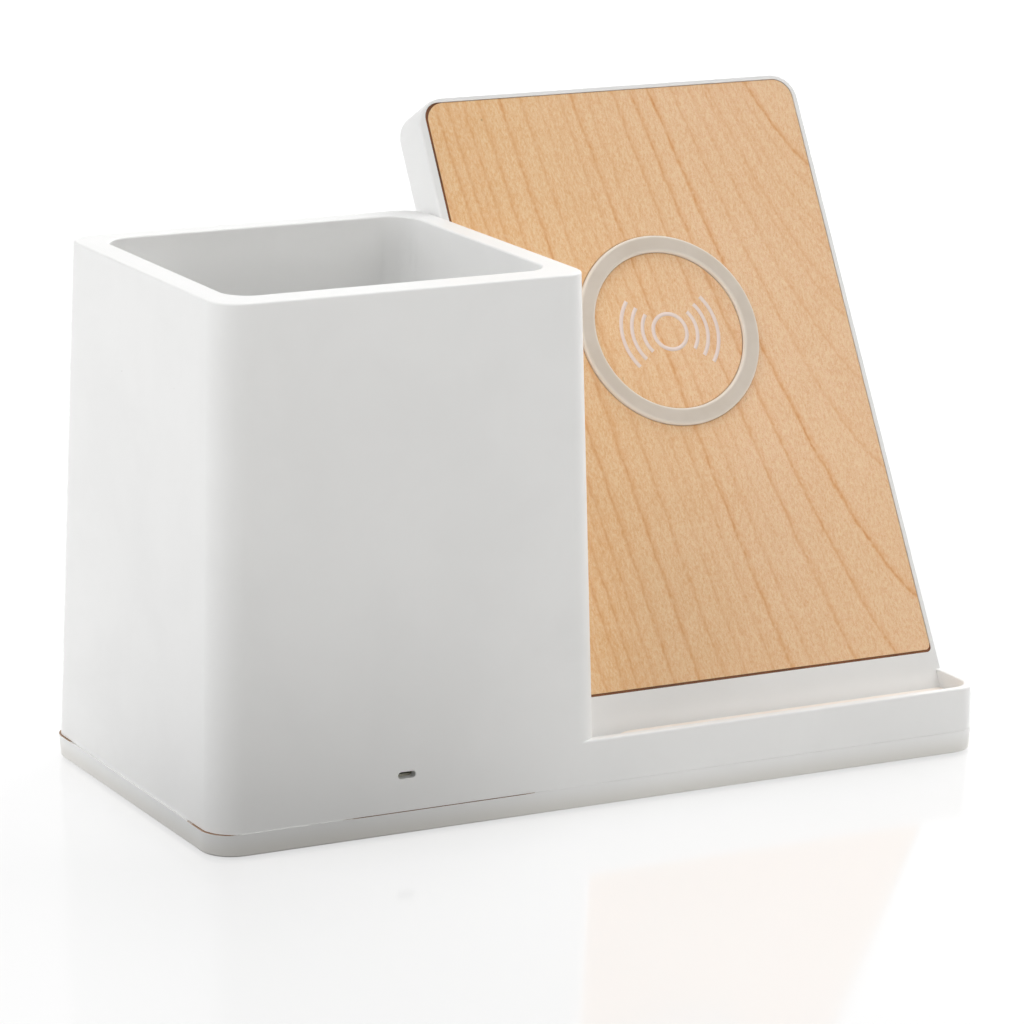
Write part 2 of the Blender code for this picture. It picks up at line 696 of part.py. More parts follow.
def make_tray():
    """The bottom cover: a shallow pan whose inner tongue stands inside the housing's walls."""
    right = BASE_LENGTH - TRAY_FLARE
    outer = (0.0, 0.0, right, TRAY_FLARE, BASE_DEPTH - TRAY_FLARE)
    top = (PARTING_HEIGHT - CLEARANCE / 2, -TRAY_STEP_LEFT, BASE_LENGTH, 0.0, BASE_DEPTH)
    levels = []
    for k in range(ROUND_STEPS + 1):
        turn = math.pi / 2 * k / ROUND_STEPS
        inset = TRAY_EDGE_ROUND * (1 - math.sin(turn))
        levels.append(inset_level(TRAY_EDGE_ROUND * (1 - math.cos(turn)), outer, inset))
    levels.append(top)
    tongue_inset = BASE_WALL + 2 * CLEARANCE
    shelf = inset_level(top[0], top, tongue_inset)
    inner = inset_level(top[0], shelf, TRAY_TONGUE)
    levels.append(shelf)
    levels.append((PARTING_HEIGHT + TRAY_TONGUE_HEIGHT, *shelf[1:]))
    levels.append((PARTING_HEIGHT + TRAY_TONGUE_HEIGHT, *inner[1:]))
    levels.append((TRAY_FLOOR, *inner[1:]))
    radii = (CORNER_RADIUS, END_RADIUS, END_RADIUS, CORNER_RADIUS)
    tray = place("base_tray", stacked_block(levels, radii), WHITE_PLASTIC, to_world())
    pockets = []
    for spot in screw_places():
        pockets.append(drum(SCREW_HOLE_RADIUS, -OVERRUN, TRAY_FLOOR + OVERRUN, SCREW_SIDES, spot))
    combine(tray, place("tray_holes", merge(pockets), None, to_world()), "DIFFERENCE")
    sinks = []
    for spot in screw_places():
        sinks.append(drum(SCREW_HEAD_RADIUS + CLEARANCE, -OVERRUN,
                          SCREW_SINK + SCREW_HEAD_HEIGHT + GLUE_GAP, 2 * SCREW_SIDES, spot))
    for spot in foot_places():
        sinks.append(drum(FOOT_RADIUS + CLEARANCE, -OVERRUN, FOOT_THICKNESS - FOOT_PROUD + GLUE_GAP,
                          FOOT_SIDES, spot))
    combine(tray, place("tray_pockets", merge(sinks), None, to_world()), "DIFFERENCE")
    return tray


def foot_places():
    return [
        (FOOT_INSET_X, FOOT_INSET_Y),
        (BASE_LENGTH - FOOT_INSET_X, FOOT_INSET_Y),
        (BASE_LENGTH - FOOT_INSET_X, BASE_DEPTH - FOOT_INSET_Y),
        (FOOT_INSET_X, BASE_DEPTH - FOOT_INSET_Y),
    ]


def turned(name, profile, finish, sides, frame):
    """A closed profile of (radius, height) points, revolved about its own Z axis."""
    bm = bmesh.new()
    ring = [bm.verts.new((radius, 0, height)) for radius, height in profile]
    edges = [bm.edges.new((ring[k], ring[(k + 1) % len(ring)])) for k in range(len(ring))]
    bmesh.ops.spin(bm, geom=ring + edges, cent=(0, 0, 0), axis=(0, 0, 1), angle=2 * math.pi, steps=sides,
                   use_merge=True)
    bmesh.ops.remove_doubles(bm, verts=bm.verts, dist=GLUE_GAP / 100)
    item = place(name, bm, finish, frame)
    round_off(item)
    return item


def make_feet():
    names = ("rubber_foot_front_left", "rubber_foot_front_right", "rubber_foot_rear_right",
             "rubber_foot_rear_left")
    for name, spot in zip(names, foot_places()):
        bm = drum(FOOT_RADIUS, -FOOT_PROUD, FOOT_THICKNESS - FOOT_PROUD, FOOT_SIDES, spot)
        lower = [edge for edge in bm.edges
                 if edge.verts[0].co.z < -FOOT_PROUD / 2 and edge.verts[1].co.z < -FOOT_PROUD / 2]
        bmesh.ops.bevel(bm, geom=lower, offset=FOOT_EDGE, segments=1, affect="EDGES")
        round_off(place(name, bm, RUBBER, to_world()))


def panel_span():
    """Across, up and depth spans of the wooden panel in its recess."""
    across, up = recess_span()
    return (
        (across[0] + PANEL_GAP_LEFT, across[1] - PANEL_GAP_RIGHT),
        (up[0] + PANEL_GAP_BOTTOM, up[1] - PANEL_GAP_TOP),
        (PANEL_DROP, PANEL_DROP + PANEL_THICKNESS),
    )


def ring_frame(depth):
    """A frame on the stand at the ring's centre, its Z axis pointing out of the front face."""
    return (STAND_FRAME @ Matrix.Translation((RING_ACROSS, depth, RING_CENTRE_UP))
            @ Matrix.Rotation(math.pi / 2, 4, "X"))


def make_panel():
    across, up, depth = panel_span()
    radii = (PANEL_FOOT_RADIUS, PANEL_FOOT_RADIUS, PANEL_CORNER_RADIUS, PANEL_CORNER_RADIUS)
    panel = place("wood_panel", rounded_plate(across, up, depth, radii), MAPLE, STAND_FRAME)
    side = CLEARANCE / 2
    outer = RING_OUTER_RADIUS + side
    inner = RING_INNER_RADIUS - side
    profile = [(outer, -RING_SUNK - GLUE_GAP), (outer, RING_PROUD), (inner, RING_PROUD),
               (inner, -RING_SUNK - GLUE_GAP)]
    groove = turned("ring_groove", profile, None, RING_STEPS, ring_frame(PANEL_DROP))
    combine(panel, groove, "DIFFERENCE")
    glue = ((across[0] + ADHESIVE_MARGIN, across[1] - ADHESIVE_MARGIN),
            (up[0] + ADHESIVE_MARGIN, up[1] - ADHESIVE_MARGIN),
            (depth[1] + GLUE_GAP, depth[1] + GLUE_GAP + ADHESIVE_THICKNESS))
    place("panel_adhesive", rounded_plate(*glue, radii), ADHESIVE, STAND_FRAME)


def make_ring():
    """The raised ring, with rounded edges above the wood."""
    outer, inner = RING_OUTER_RADIUS, RING_INNER_RADIUS
    profile = [(outer, -RING_SUNK)]
    for rise, inset in quarter(RING_EDGE, ROUND_STEPS, True):
        profile.append((outer - inset, RING_PROUD - RING_EDGE + rise))
    for rise, inset in reversed(quarter(RING_EDGE, ROUND_STEPS, True)):
        profile.append((inner + inset, RING_PROUD - RING_EDGE + rise))
    profile.append((inner, -RING_SUNK))
    turned("silicone_ring", profile, SILICONE, RING_STEPS, ring_frame(PANEL_DROP))


def make_ledge_pad():
    """The cream strip on the ledge's floor, with a round left-hand end."""
    low = LEDGE_FLOOR_HEIGHT + GLUE_GAP
    high = low + LEDGE_PAD_THICKNESS
    front = front_wall(LEDGE_FLOOR_HEIGHT) + FRONT_LIP_WALL + CLEARANCE
    back = STAND_SETBACK - (LIP_HEIGHT - low) * STAND_SLOPE - CLEARANCE
    right = BASE_LENGTH - SIDE_LIP_WALL - CLEARANCE
    levels = [(low, LEDGE_PAD_START, right, front, back), (high, LEDGE_PAD_START, right, front, back)]
    radii = (LEDGE_PAD_END_RADIUS, LEDGE_CORNER_RADIUS, LEDGE_PAD_SMALL_RADIUS, LEDGE_PAD_END_RADIUS)
    place("ledge_pad", stacked_block(levels, radii), CREAM_SILICONE, to_world())


def coil_depths():
    """Depths behind the stand's front face of the coil, the ferrite and the carrier, back to front."""
    carrier_back = CELL_BACK - CLEARANCE
    carrier_front = carrier_back - CARRIER_THICKNESS
    ferrite_back = carrier_front - GLUE_GAP
    ferrite_front = ferrite_back - FERRITE_THICKNESS
    coil_middle = ferrite_front - CLEARANCE / 2 - COIL_WIRE / 2
    return coil_middle, (ferrite_front, ferrite_back), (carrier_front, carrier_back)


def tube_mesh(points, radius, resolution):
    """A closed round tube along points, as a mesh."""
    curve = bpy.data.curves.new("run", "CURVE")
    curve.dimensions = "3D"
    curve.bevel_depth = radius
    curve.bevel_resolution = resolution
    curve.use_fill_caps = True
    run = curve.splines.new("POLY")
    run.points.add(len(points) - 1)
    for point, spot in zip(run.points, points):
        point.co = (*spot, 1.0)
    item = bpy.data.objects.new("run", curve)
    bpy.context.scene.collection.objects.link(item)
    evaluated = item.evaluated_get(bpy.context.evaluated_depsgraph_get())
    mesh = bpy.data.meshes.new_from_object(evaluated)
    bm = bmesh.new()
    bm.from_mesh(mesh)
    bmesh.ops.remove_doubles(bm, verts=bm.verts, dist=GLUE_GAP / 100)
    bpy.data.objects.remove(item)
    bpy.data.curves.remove(curve)
    bpy.data.meshes.remove(mesh)
    return bm


def coil_points():
    """The flat spiral of the charging coil, in the stand's frame."""
    depth = coil_depths()[0]
    points = []
    for k in range(COIL_TURNS * COIL_POINTS_PER_TURN + 1):
        turn = k / COIL_POINTS_PER_TURN
        radius = COIL_INNER_RADIUS + COIL_PITCH * turn
        angle = 2 * math.pi * turn - math.pi / 2
        points.append(Vector((RING_ACROSS + radius * math.cos(angle), depth,
                              RING_CENTRE_UP + radius * math.sin(angle))))
    return points


def least_gap(points, wire):
    """The smallest free space between turns that lie at least half a turn apart along the wire."""
    apart = COIL_POINTS_PER_TURN // 2
    nearest = min((points[i] - points[j]).length
                  for i in range(len(points)) for j in range(i + apart, len(points)))
    return nearest - wire


def make_coil():
    coil_middle, ferrite, carrier = coil_depths()
    points = coil_points()
    print("coil turns: least gap", round(least_gap(points, COIL_WIRE) * 1000, 2), "mm")
    coil = place("charging_coil", tube_mesh(points, COIL_WIRE / 2, 1), COPPER, STAND_FRAME)
    round_off(coil, math.radians(60))
    shield = drum(FERRITE_RADIUS, 0, FERRITE_THICKNESS, RING_STEPS)
    disc = place("ferrite_disc", shield, FERRITE, ring_frame(ferrite[1]))
    slot = box(RING_ACROSS - FERRITE_SLOT / 2, RING_ACROSS + FERRITE_SLOT / 2, ferrite[0] - CLEARANCE,
               ferrite[1] + GLUE_GAP / 2, RING_CENTRE_UP - FERRITE_RADIUS - OVERRUN,
               RING_CENTRE_UP - COIL_INNER_RADIUS + FERRITE_SLOT)
    combine(disc, place("ferrite_slot", slot, None, STAND_FRAME), "DIFFERENCE")
    half = COIL_CELL / 2 - CLEARANCE
    plate = rounded_plate((RING_ACROSS - half, RING_ACROSS + half),
                          (RING_CENTRE_UP - half, RING_CENTRE_UP + half),
                          (carrier[0] - CARRIER_RIM_HEIGHT, carrier[1]), (CELL_RADIUS,) * 4, 3)
    frame = place("coil_carrier", plate, BLACK_PLASTIC, STAND_FRAME)
    well = drum(FERRITE_RADIUS + CLEARANCE, 0, CARRIER_RIM_HEIGHT + OVERRUN, RING_STEPS)
    combine(frame, place("carrier_well", well, None, ring_frame(carrier[0])), "DIFFERENCE")
    gate = box(RING_ACROSS - LEAD_NOTCH_WIDTH / 2, RING_ACROSS + LEAD_NOTCH_WIDTH / 2,
               carrier[0] - CARRIER_RIM_HEIGHT - OVERRUN, carrier[0],
               RING_CENTRE_UP - half - OVERRUN, RING_CENTRE_UP - FERRITE_RADIUS + CARRIER_RIM)
    combine(frame, place("carrier_gate", gate, None, STAND_FRAME), "DIFFERENCE")


def smooth_route(points, steps):
    """Points on a smooth curve through the given ones."""
    padded = [2 * points[0] - points[1], *points, 2 * points[-1] - points[-2]]
    route = []
    for k in range(1, len(padded) - 2):
        p0, p1, p2, p3 = padded[k - 1:k + 3]
        for step in range(steps):
            t = step / steps
            route.append(0.5 * (2 * p1 + (p2 - p0) * t + (2 * p0 - 5 * p1 + 4 * p2 - p3) * t ** 2
                                + (3 * p1 - p0 - 3 * p2 + p3) * t ** 3))
    route.append(points[-1])
    return route


def make_leads():
    """Two sleeved wires from the coil down the stand, under the ledge and onto the board."""
    _, ferrite, _ = coil_depths()
    middle = (ferrite[0] + ferrite[1]) / 2
    deep = CELL_BACK - 2 * LEAD_WIRE
    start_up = RING_CENTRE_UP - COIL_OUTER_RADIUS - COIL_PITCH
    for name, side in (("coil_lead_left", -1), ("coil_lead_right", 1)):
        shift = side * LEAD_SPACING / 2
        outer = Vector((RING_ACROSS + shift, middle, RING_CENTRE_UP - FERRITE_RADIUS - LEAD_WIRE))
        stand = [
            outer,
            Vector((RING_ACROSS + shift, middle, start_up - 2 * LEAD_SPACING)),
            Vector((RING_ACROSS + shift, deep, RING_CENTRE_UP - COIL_CELL / 2 - 3 * LEAD_SPACING)),
            Vector((RING_ACROSS + shift, deep, STAND_FOOT)),
            Vector((RING_ACROSS + shift, deep, -(LIP_HEIGHT - LEDGE_ROOF) / math.cos(STAND_LEAN))),
        ]
        base_y = STAND_SETBACK + LEAD_CLIMB + side * LEAD_SPACING / 2
        low = TRAY_FLOOR + 2 * LEAD_WIRE
        under = [
            at(STAND_LEFT + RING_ACROSS + shift - 3 * LEAD_SPACING, base_y, low),
            at(STAND_LEFT + STAND_THICKNESS, base_y, low),
            at(BOARD_LEFT + BOARD_LENGTH + LEAD_CLIMB, base_y, low + LEAD_WIRE / 2),
            at(BOARD_LEFT + BOARD_LENGTH + LEAD_SPACING, base_y, BOARD_TOP),
            at(BOARD_LEFT + BOARD_LENGTH, base_y, BOARD_TOP + LEAD_WIRE),
            at(BOARD_LEFT + BOARD_LENGTH - 2 * LEAD_SPACING, base_y, BOARD_TOP + LEAD_WIRE / 2 + GLUE_GAP),
        ]
        route = smooth_route([STAND_FRAME @ spot for spot in stand] + under, LEAD_STEPS)
        round_off(place(name, tube_mesh(route, LEAD_WIRE / 2, 1), WIRE_SLEEVE), math.radians(60))


def make_screws(name, spots, head_low, length):
    """Pan head screws that point up, heads below, each an object of its own."""
    top = head_low + SCREW_HEAD_HEIGHT
    corners = ("front_left", "rear_left", "front_right", "rear_right")
    for corner, spot in zip(corners, spots):
        title = name + "_" + corner
        screw = place(title, drum(SCREW_HEAD_RADIUS, head_low, top, 2 * SCREW_SIDES, spot), STEEL, to_world())
        shank = drum(SCREW_SHANK_RADIUS, top - GLUE_GAP, top + length, SCREW_SIDES, spot)
        combine(screw, place(title + "_shank", shank, None, to_world()), "UNION")
        drive = drum(DRIVE_RADIUS, head_low - OVERRUN, head_low + DRIVE_DEPTH, DRIVE_SIDES, spot)
        combine(screw, place(title + "_drive", drive, None, to_world()), "DIFFERENCE")
        round_off(screw)


def make_board():
    left, right = BOARD_LEFT, BOARD_LEFT + BOARD_LENGTH
    levels = [(BOARD_HEIGHT, left, right, BOARD_FRONT, BOARD_BACK), (BOARD_TOP, left, right, BOARD_FRONT, BOARD_BACK)]
    board = place("circuit_board", stacked_block(levels, (BOARD_CORNER,) * 4, 3), BOARD_GREEN, to_world())
    holes = [drum(BOARD_HOLE_RADIUS, BOARD_HEIGHT - OVERRUN, BOARD_TOP + OVERRUN, SCREW_SIDES, spot)
             for spot in post_places()]
    combine(board, place("board_holes", merge(holes), None, to_world()), "DIFFERENCE")


def on_board(name, centre, length, depth, height, finish):
    """A part soldered to the board's top face, with softened edges."""
    low = BOARD_TOP + GLUE_GAP
    bm = box(centre[0] - length / 2, centre[0] + length / 2, centre[1] - depth / 2, centre[1] + depth / 2,
             low, low + height)
    bmesh.ops.bevel(bm, geom=bm.edges[:], offset=PART_EDGE, segments=1, affect="EDGES")
    return place(name, bm, finish, to_world())


def make_board_parts():
    middle = LAMP_LENGTH_AT
    depth_middle = (BOARD_FRONT + BOARD_BACK) / 2
    on_board("control_chip", (middle - CONTROL_CHIP, depth_middle - CONTROL_CHIP), CONTROL_CHIP, CONTROL_CHIP,
             CHIP_HEIGHT, CHIP_BLACK)
    on_board("bridge_chip", (middle + DRIVER_CHIP_LENGTH, depth_middle + DRIVER_CHIP_DEPTH),
             DRIVER_CHIP_LENGTH, DRIVER_CHIP_DEPTH, CHIP_HEIGHT, CHIP_BLACK)
    on_board("power_choke", (middle - COIL_CHOKE, depth_middle + 2 * COIL_CHOKE), COIL_CHOKE, COIL_CHOKE,
             COIL_CHOKE_HEIGHT, CHIP_BLACK)
    first = depth_middle - CAPACITOR_SPACING * (CAPACITOR_COUNT + 1)
    for k in range(CAPACITOR_COUNT):
        spot = (middle + 2 * CAPACITOR_LENGTH, first + k * CAPACITOR_SPACING)
        on_board("capacitor_" + str(k + 1), spot, CAPACITOR_LENGTH, CAPACITOR_DEPTH, CAPACITOR_HEIGHT, CERAMIC)
    lamp_y = BOARD_FRONT + LAMP_DEPTH
    on_board("indicator_lamp", (middle, lamp_y), LAMP_WIDTH, LAMP_DEPTH, LAMP_HEIGHT, LAMP_WHITE)


def make_light_guide():
    """A clear block behind the slot that stands on the board over the lamp."""
    back = CUP_WALL + front_wall(LAMP_HEIGHT_AT) + CLEARANCE
    low = LAMP_HEIGHT_AT - GUIDE_HEIGHT / 2
    middle = LAMP_LENGTH_AT
    half = GUIDE_WIDTH / 2
    end = BOARD_FRONT + 2 * LAMP_DEPTH + GUIDE_LEG
    guide = place("light_guide", box(middle - half, middle + half, back, end, low, low + GUIDE_HEIGHT),
                  CLEAR_PLASTIC, to_world())
    foot = BOARD_TOP + CLEARANCE
    leg = box(middle - half, middle + half, end - GUIDE_LEG, end, foot, low + GUIDE_HEIGHT / 2)
    combine(guide, place("guide_leg", leg, None, to_world()), "UNION")
    nose = slot_cutter(LAMP_SLOT_WIDTH - 2 * CLEARANCE, LAMP_SLOT_HEIGHT - 2 * CLEARANCE, middle, LAMP_HEIGHT_AT,
                       back - CUP_WALL + GUIDE_SINK, back + GUIDE_LEG)
    combine(guide, place("guide_nose", nose, None, to_world()), "UNION")


def make_inlet():
    """The power socket: a folded steel shell with a plastic tongue inside."""
    middle = LAMP_LENGTH_AT
    height = inlet_height()
    back = back_wall(height) - INLET_SINK
    front = back - INLET_DEPTH
    shell = place("inlet_shell", slot_cutter(INLET_WIDTH, INLET_HEIGHT, middle, height, front, back), STEEL,
                  to_world())
    bore = slot_cutter(INLET_WIDTH - 2 * INLET_WALL, INLET_HEIGHT - 2 * INLET_WALL, middle, height,
                       front + INLET_WALL, back + OVERRUN)
    combine(shell, place("inlet_bore", bore, None, to_world()), "DIFFERENCE")
    plug_front = front + INLET_WALL + GLUE_GAP
    inner_width = INLET_WIDTH - 2 * INLET_WALL - 2 * GLUE_GAP
    inner_height = INLET_HEIGHT - 2 * INLET_WALL - 2 * GLUE_GAP
    core = slot_cutter(inner_width, inner_height, middle, height, plug_front, plug_front + INLET_PLUG_DEPTH)
    insert = place("inlet_tongue", core, BLACK_PLASTIC, to_world())
    half_w, half_h = INLET_TONGUE_WIDTH / 2, INLET_TONGUE_HEIGHT / 2
    tongue = box(middle - half_w, middle + half_w, plug_front + INLET_PLUG_DEPTH / 2,
                 plug_front + INLET_PLUG_DEPTH + INLET_TONGUE_DEPTH - INLET_PLUG_DEPTH / 2,
                 height - half_h, height + half_h)
    combine(insert, place("tongue_blade", tongue, None, to_world()), "UNION")


def main():
    make_housing()
    make_tray()
    make_feet()
    make_panel()
    make_ring()
    make_ledge_pad()
    make_coil()
    make_leads()
    make_screws("tray_screw", screw_places(), SCREW_SINK, SCREW_LENGTH)
    make_board()
    make_board_parts()
    make_screws("board_screw", post_places(), BOARD_HEIGHT - CLEARANCE - SCREW_HEAD_HEIGHT, BOARD_SCREW_LENGTH)
    make_inlet()
    make_light_guide()
    print("parts:", len(PARTS.objects))


main()
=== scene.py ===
import json
import math

import bmesh
import bpy
from mathutils import Matrix, Vector


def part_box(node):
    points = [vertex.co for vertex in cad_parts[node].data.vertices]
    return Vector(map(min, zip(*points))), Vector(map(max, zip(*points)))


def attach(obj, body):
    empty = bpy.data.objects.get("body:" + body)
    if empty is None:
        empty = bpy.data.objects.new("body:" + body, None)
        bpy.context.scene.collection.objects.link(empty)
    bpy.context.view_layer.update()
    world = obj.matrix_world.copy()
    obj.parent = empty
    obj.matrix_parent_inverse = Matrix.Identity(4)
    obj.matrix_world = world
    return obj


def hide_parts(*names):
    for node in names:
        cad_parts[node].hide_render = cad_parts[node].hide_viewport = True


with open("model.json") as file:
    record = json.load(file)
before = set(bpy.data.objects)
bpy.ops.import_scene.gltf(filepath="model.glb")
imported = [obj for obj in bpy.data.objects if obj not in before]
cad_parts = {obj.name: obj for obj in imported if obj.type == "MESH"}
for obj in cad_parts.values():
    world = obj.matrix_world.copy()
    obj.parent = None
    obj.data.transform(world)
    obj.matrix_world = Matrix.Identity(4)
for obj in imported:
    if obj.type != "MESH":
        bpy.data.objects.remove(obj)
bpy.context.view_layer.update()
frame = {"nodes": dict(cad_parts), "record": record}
cadNodes = frame["nodes"]
print("frame loaded:", len(cadNodes), "nodes")

scene = bpy.context.scene
scene.view_settings.view_transform = "Standard"

trayStep = 0.0003  # the tray stands this far out of the housing on the left
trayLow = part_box("base_tray")[0]
origin = Vector((trayLow.x + trayStep, trayLow.y, trayLow.z))  # left end, front edge and underside of the tray


def at(length, depth, height):
    return origin + Vector((length, depth, height))


def link(name, data):
    item = bpy.data.objects.new(name, data)
    scene.collection.objects.link(item)
    return item


# camera, solved from the edges in the photograph
view = {
    "place": (-0.341559, -0.764084, 0.273756),
    "right": (0.88649, -0.46259, 0.01204),
    "up": (0.10120, 0.21919, 0.97042),
    "lens": 169.46,
    "sensor": 36.0,
    "clip": (0.01, 50.0),
}


def makeCamera():
    data = bpy.data.cameras.new("camera")
    data.sensor_fit = "HORIZONTAL"
    data.sensor_width, data.lens = view["sensor"], view["lens"]
    data.clip_start, data.clip_end = view["clip"]
    right, up = Vector(view["right"]).normalized(), Vector(view["up"])
    up = (up - right * up.dot(right)).normalized()
    turn = Matrix((right, up, right.cross(up))).transposed()
    scene.camera = link("camera", data)
    scene.camera.matrix_world = Matrix.Translation(at(*view["place"])) @ turn.to_4x4()


makeCamera()

# sizes of the moulded body, in metres from the tray's left end, front edge and underside
body = {
    "length": 0.165, "depth": 0.0784, "height": 0.1022, "cupLength": 0.0804,
    "parting": 0.0044, "joint": 0.000004,  # height of the joint to the tray, and half the gap in it
    "lip": 0.013, "ledgeFloor": 0.0094,
    "drawLeft": 0.0025, "drawRight": 0.0028, "drawFront": 0.0030, "drawBack": 0.0030,  # lean of the walls
    "cupRadii": (0.006, 0.0052, 0.0052, 0.006),  # front left, front right, back right, back left
    "footRadii": (0.006, 0.0053, 0.0053, 0.006),
    "edge": 0.0004, "lipEdge": 0.0005,
    "cornerSteps": 22, "edgeSteps": 4,
    "wall": 0.0018, "baseWall": 0.002, "rimPlate": 0.0026,
    "over": 0.004,  # how far a cutter reaches past what it cuts
}
cavity = {
    "left": 0.0055, "right": 0.0047, "front": 0.0067, "back": 0.0050,  # width of the rim
    "corner": 0.0055, "draw": 0.0015, "fillet": 0.002, "filletSteps": 8,
    "floor": 0.0148, "floorThickness": 0.002,
}
ledge = {
    "frontWall": 0.0017, "sideWall": 0.0014, "corner": 0.0039, "innerEdge": 0.0003, "fillet": 0.0003,
    "padThickness": 0.0004, "padStart": 0.0886, "padEnd": 0.0046, "padSmall": 0.0006, "padGap": 0.0003,
    "padEdge": 0.00012, "padLift": 0.0001,
}
stand = {
    "lean": math.radians(30.0), "left": 0.0777, "setback": 0.01474,
    "length": 0.12775, "thickness": 0.0095, "sideStep": 0.0001,
    "corner": 0.0058, "endCorner": 0.0051, "edge": 0.001, "edgeSteps": 6,
    "frontEdges": (0.0006, 0.0002, 0.00014),  # left, right and top edges of the face, sharper than the back's
    "drawnIn": (0.0006, 0.00019, 0.00037),  # the face is this much smaller on the left, right and top
    "recessLeft": 0.00222, "recessRight": 0.00112, "recessTop": 0.0012, "recessBottom": 0.0036,
    "recessRadii": (0.0011, 0.0011, 0.0041, 0.0035), "recessDepth": 0.0025, "recessEdge": 0.00005,
    "seat": 0.0035, "backWall": 0.0025, "rib": 0.0016, "cell": 0.05, "cellCorner": 0.002,
    "leadWidth": 0.008, "leadDrop": 0.0071,  # channel for the coil's leads
}
stand["width"] = body["length"] - stand["sideStep"] - stand["left"]
stand["foot"] = (body["lip"] - body["ledgeFloor"] + body["baseWall"] / 2) / math.cos(stand["lean"])
panel = {
    "thickness": 0.002, "drop": 0.00015, "edge": 0.00012,
    "gapLeft": 0.00052, "gapRight": 0.00006, "gapTop": 0.00005, "gapBottom": 0.0005,
    "radii": (0.0013, 0.0013, 0.0041, 0.0041),
    "beadDrop": 0.00022, "beadGap": 0.00003,
}
ring = {
    "across": stand["width"] / 2 + 0.0011, "up": stand["length"] * 0.5894,
    "outer": 0.0199, "inner": 0.0164, "proud": 0.0009, "sunk": 0.0006,
    "edge": 0.0007, "edgeSteps": 5, "gap": 0.00006, "steps": 160,
}
ring["width"] = ring["outer"] - ring["inner"]
ring["middle"] = (ring["outer"] + ring["inner"]) / 2
slack = 0.0001  # keeps a cutter's face off the face beside it

standFrame = (Matrix.Translation(at(stand["left"], stand["setback"], body["lip"]))
              @ Matrix.Rotation(-stand["lean"], 4, "X"))
uprightFrame = Matrix.Translation(origin)


def ringFrame(depth):
    return (standFrame @ Matrix.Translation((ring["across"], depth, ring["up"]))
            @ Matrix.Rotation(math.pi / 2, 4, "X"))


# mesh helpers
def roundedRing(x0, x1, y0, y1, radii, steps):  # radii run low-left, low-right, high-right, high-left
    corners = ((x0, y0, 1, 1, 180), (x1, y0, -1, 1, 270), (x1, y1, -1, -1, 0), (x0, y1, 1, -1, 90))
    points = []
    for (x, y, sx, sy, start), radius in zip(corners, radii):
        centre = (x + sx * radius, y + sy * radius)
        for k in range(steps + 1):
            turn = math.radians(start + 90 * k / steps)
            points.append((centre[0] + radius * math.cos(turn), centre[1] + radius * math.sin(turn)))
    return points


def tidied(mesh, distance):
    bmesh.ops.remove_doubles(mesh, verts=mesh.verts, dist=distance)
    bmesh.ops.recalc_face_normals(mesh, faces=mesh.faces)
    return mesh


def loft(rings):
    mesh = bmesh.new()
    rows = [[mesh.verts.new(point) for point in row] for row in rings]
    count = len(rows[0])
    for low, high in zip(rows, rows[1:]):
        for k in range(count):
            mesh.faces.new((low[k], low[(k + 1) % count], high[(k + 1) % count], high[k]))
    mesh.faces.new(list(reversed(rows[0])))
    mesh.faces.new(rows[-1])
    return tidied(mesh, 1e-8)


def uprightBlock(levels, radii, steps=body["cornerSteps"]):  # levels are (height, left, right, front, back)
    return loft([[(x, y, level[0]) for x, y in roundedRing(*level[1:], radii, steps)] for level in levels])


def standBlock(levels, radii, steps=body["cornerSteps"]):  # levels are (depth, left, right, low, high)
    return loft([[(x, level[0], z) for x, z in roundedRing(*level[1:], radii, steps)] for level in levels])


def inset(level, height, amount):
    return (height, level[1] + amount, level[2] - amount, level[3] + amount, level[4] - amount)


def quarter(steps):
    return [math.pi / 2 * k / steps for k in range(steps + 1)]


def closingRound(radius, steps=body["edgeSteps"]):  # (rise, inset) up to a rounded end
    return [(radius * math.sin(t), radius * (1 - math.cos(t))) for t in quarter(steps)]


def openingRound(radius, steps=body["edgeSteps"]):  # (rise, inset) away from a rounded start
    return [(radius * (1 - math.cos(t)), radius * (1 - math.sin(t))) for t in quarter(steps)]


def spun(profile, steps):  # a closed profile of (radius, height) turned about Z
    mesh = bmesh.new()
    loop = [mesh.verts.new((radius, 0, height)) for radius, height in profile]
    edges = [mesh.edges.new((loop[k], loop[(k + 1) % len(loop)])) for k in range(len(loop))]
    bmesh.ops.spin(mesh, geom=loop + edges, cent=(0, 0, 0), axis=(0, 0, 1), angle=2 * math.pi, steps=steps,
                   use_merge=True)
    return tidied(mesh, 1e-7)


def boxMesh(x0, x1, y0, y1, z0, z1):
    mesh = bmesh.new()
    bmesh.ops.create_cube(mesh, size=1.0)
    for vertex in mesh.verts:
        x, y, z = vertex.co
        vertex.co = (x1 if x > 0 else x0, y1 if y > 0 else y0, z1 if z > 0 else z0)
    return mesh


def drum(radius, low, high, sides, x, y):
    mesh = bmesh.new()
    bmesh.ops.create_cone(mesh, cap_ends=True, segments=sides, radius1=radius, radius2=radius, depth=high - low)
    bmesh.ops.translate(mesh, verts=mesh.verts, vec=(x, y, (low + high) / 2))
    return mesh


def joined(parts):
    whole = bmesh.new()
    for part in parts:
        data = bpy.data.meshes.new("part")
        part.to_mesh(data)
        part.free()
        whole.from_mesh(data)
        bpy.data.meshes.remove(data)
    return whole


def toObject(name, mesh, place=None):
    if place is not None:
        mesh.transform(place)
    data = bpy.data.meshes.new(name)
    mesh.to_mesh(data)
    mesh.free()
    return link(name, data)


def bake(item):  # the evaluated shape becomes the object's own plain mesh
    bpy.context.view_layer.update()
    evaluated = item.evaluated_get(bpy.context.evaluated_depsgraph_get())
    data = bpy.data.meshes.new_from_object(evaluated)
    item.modifiers.clear()
    item.data = data


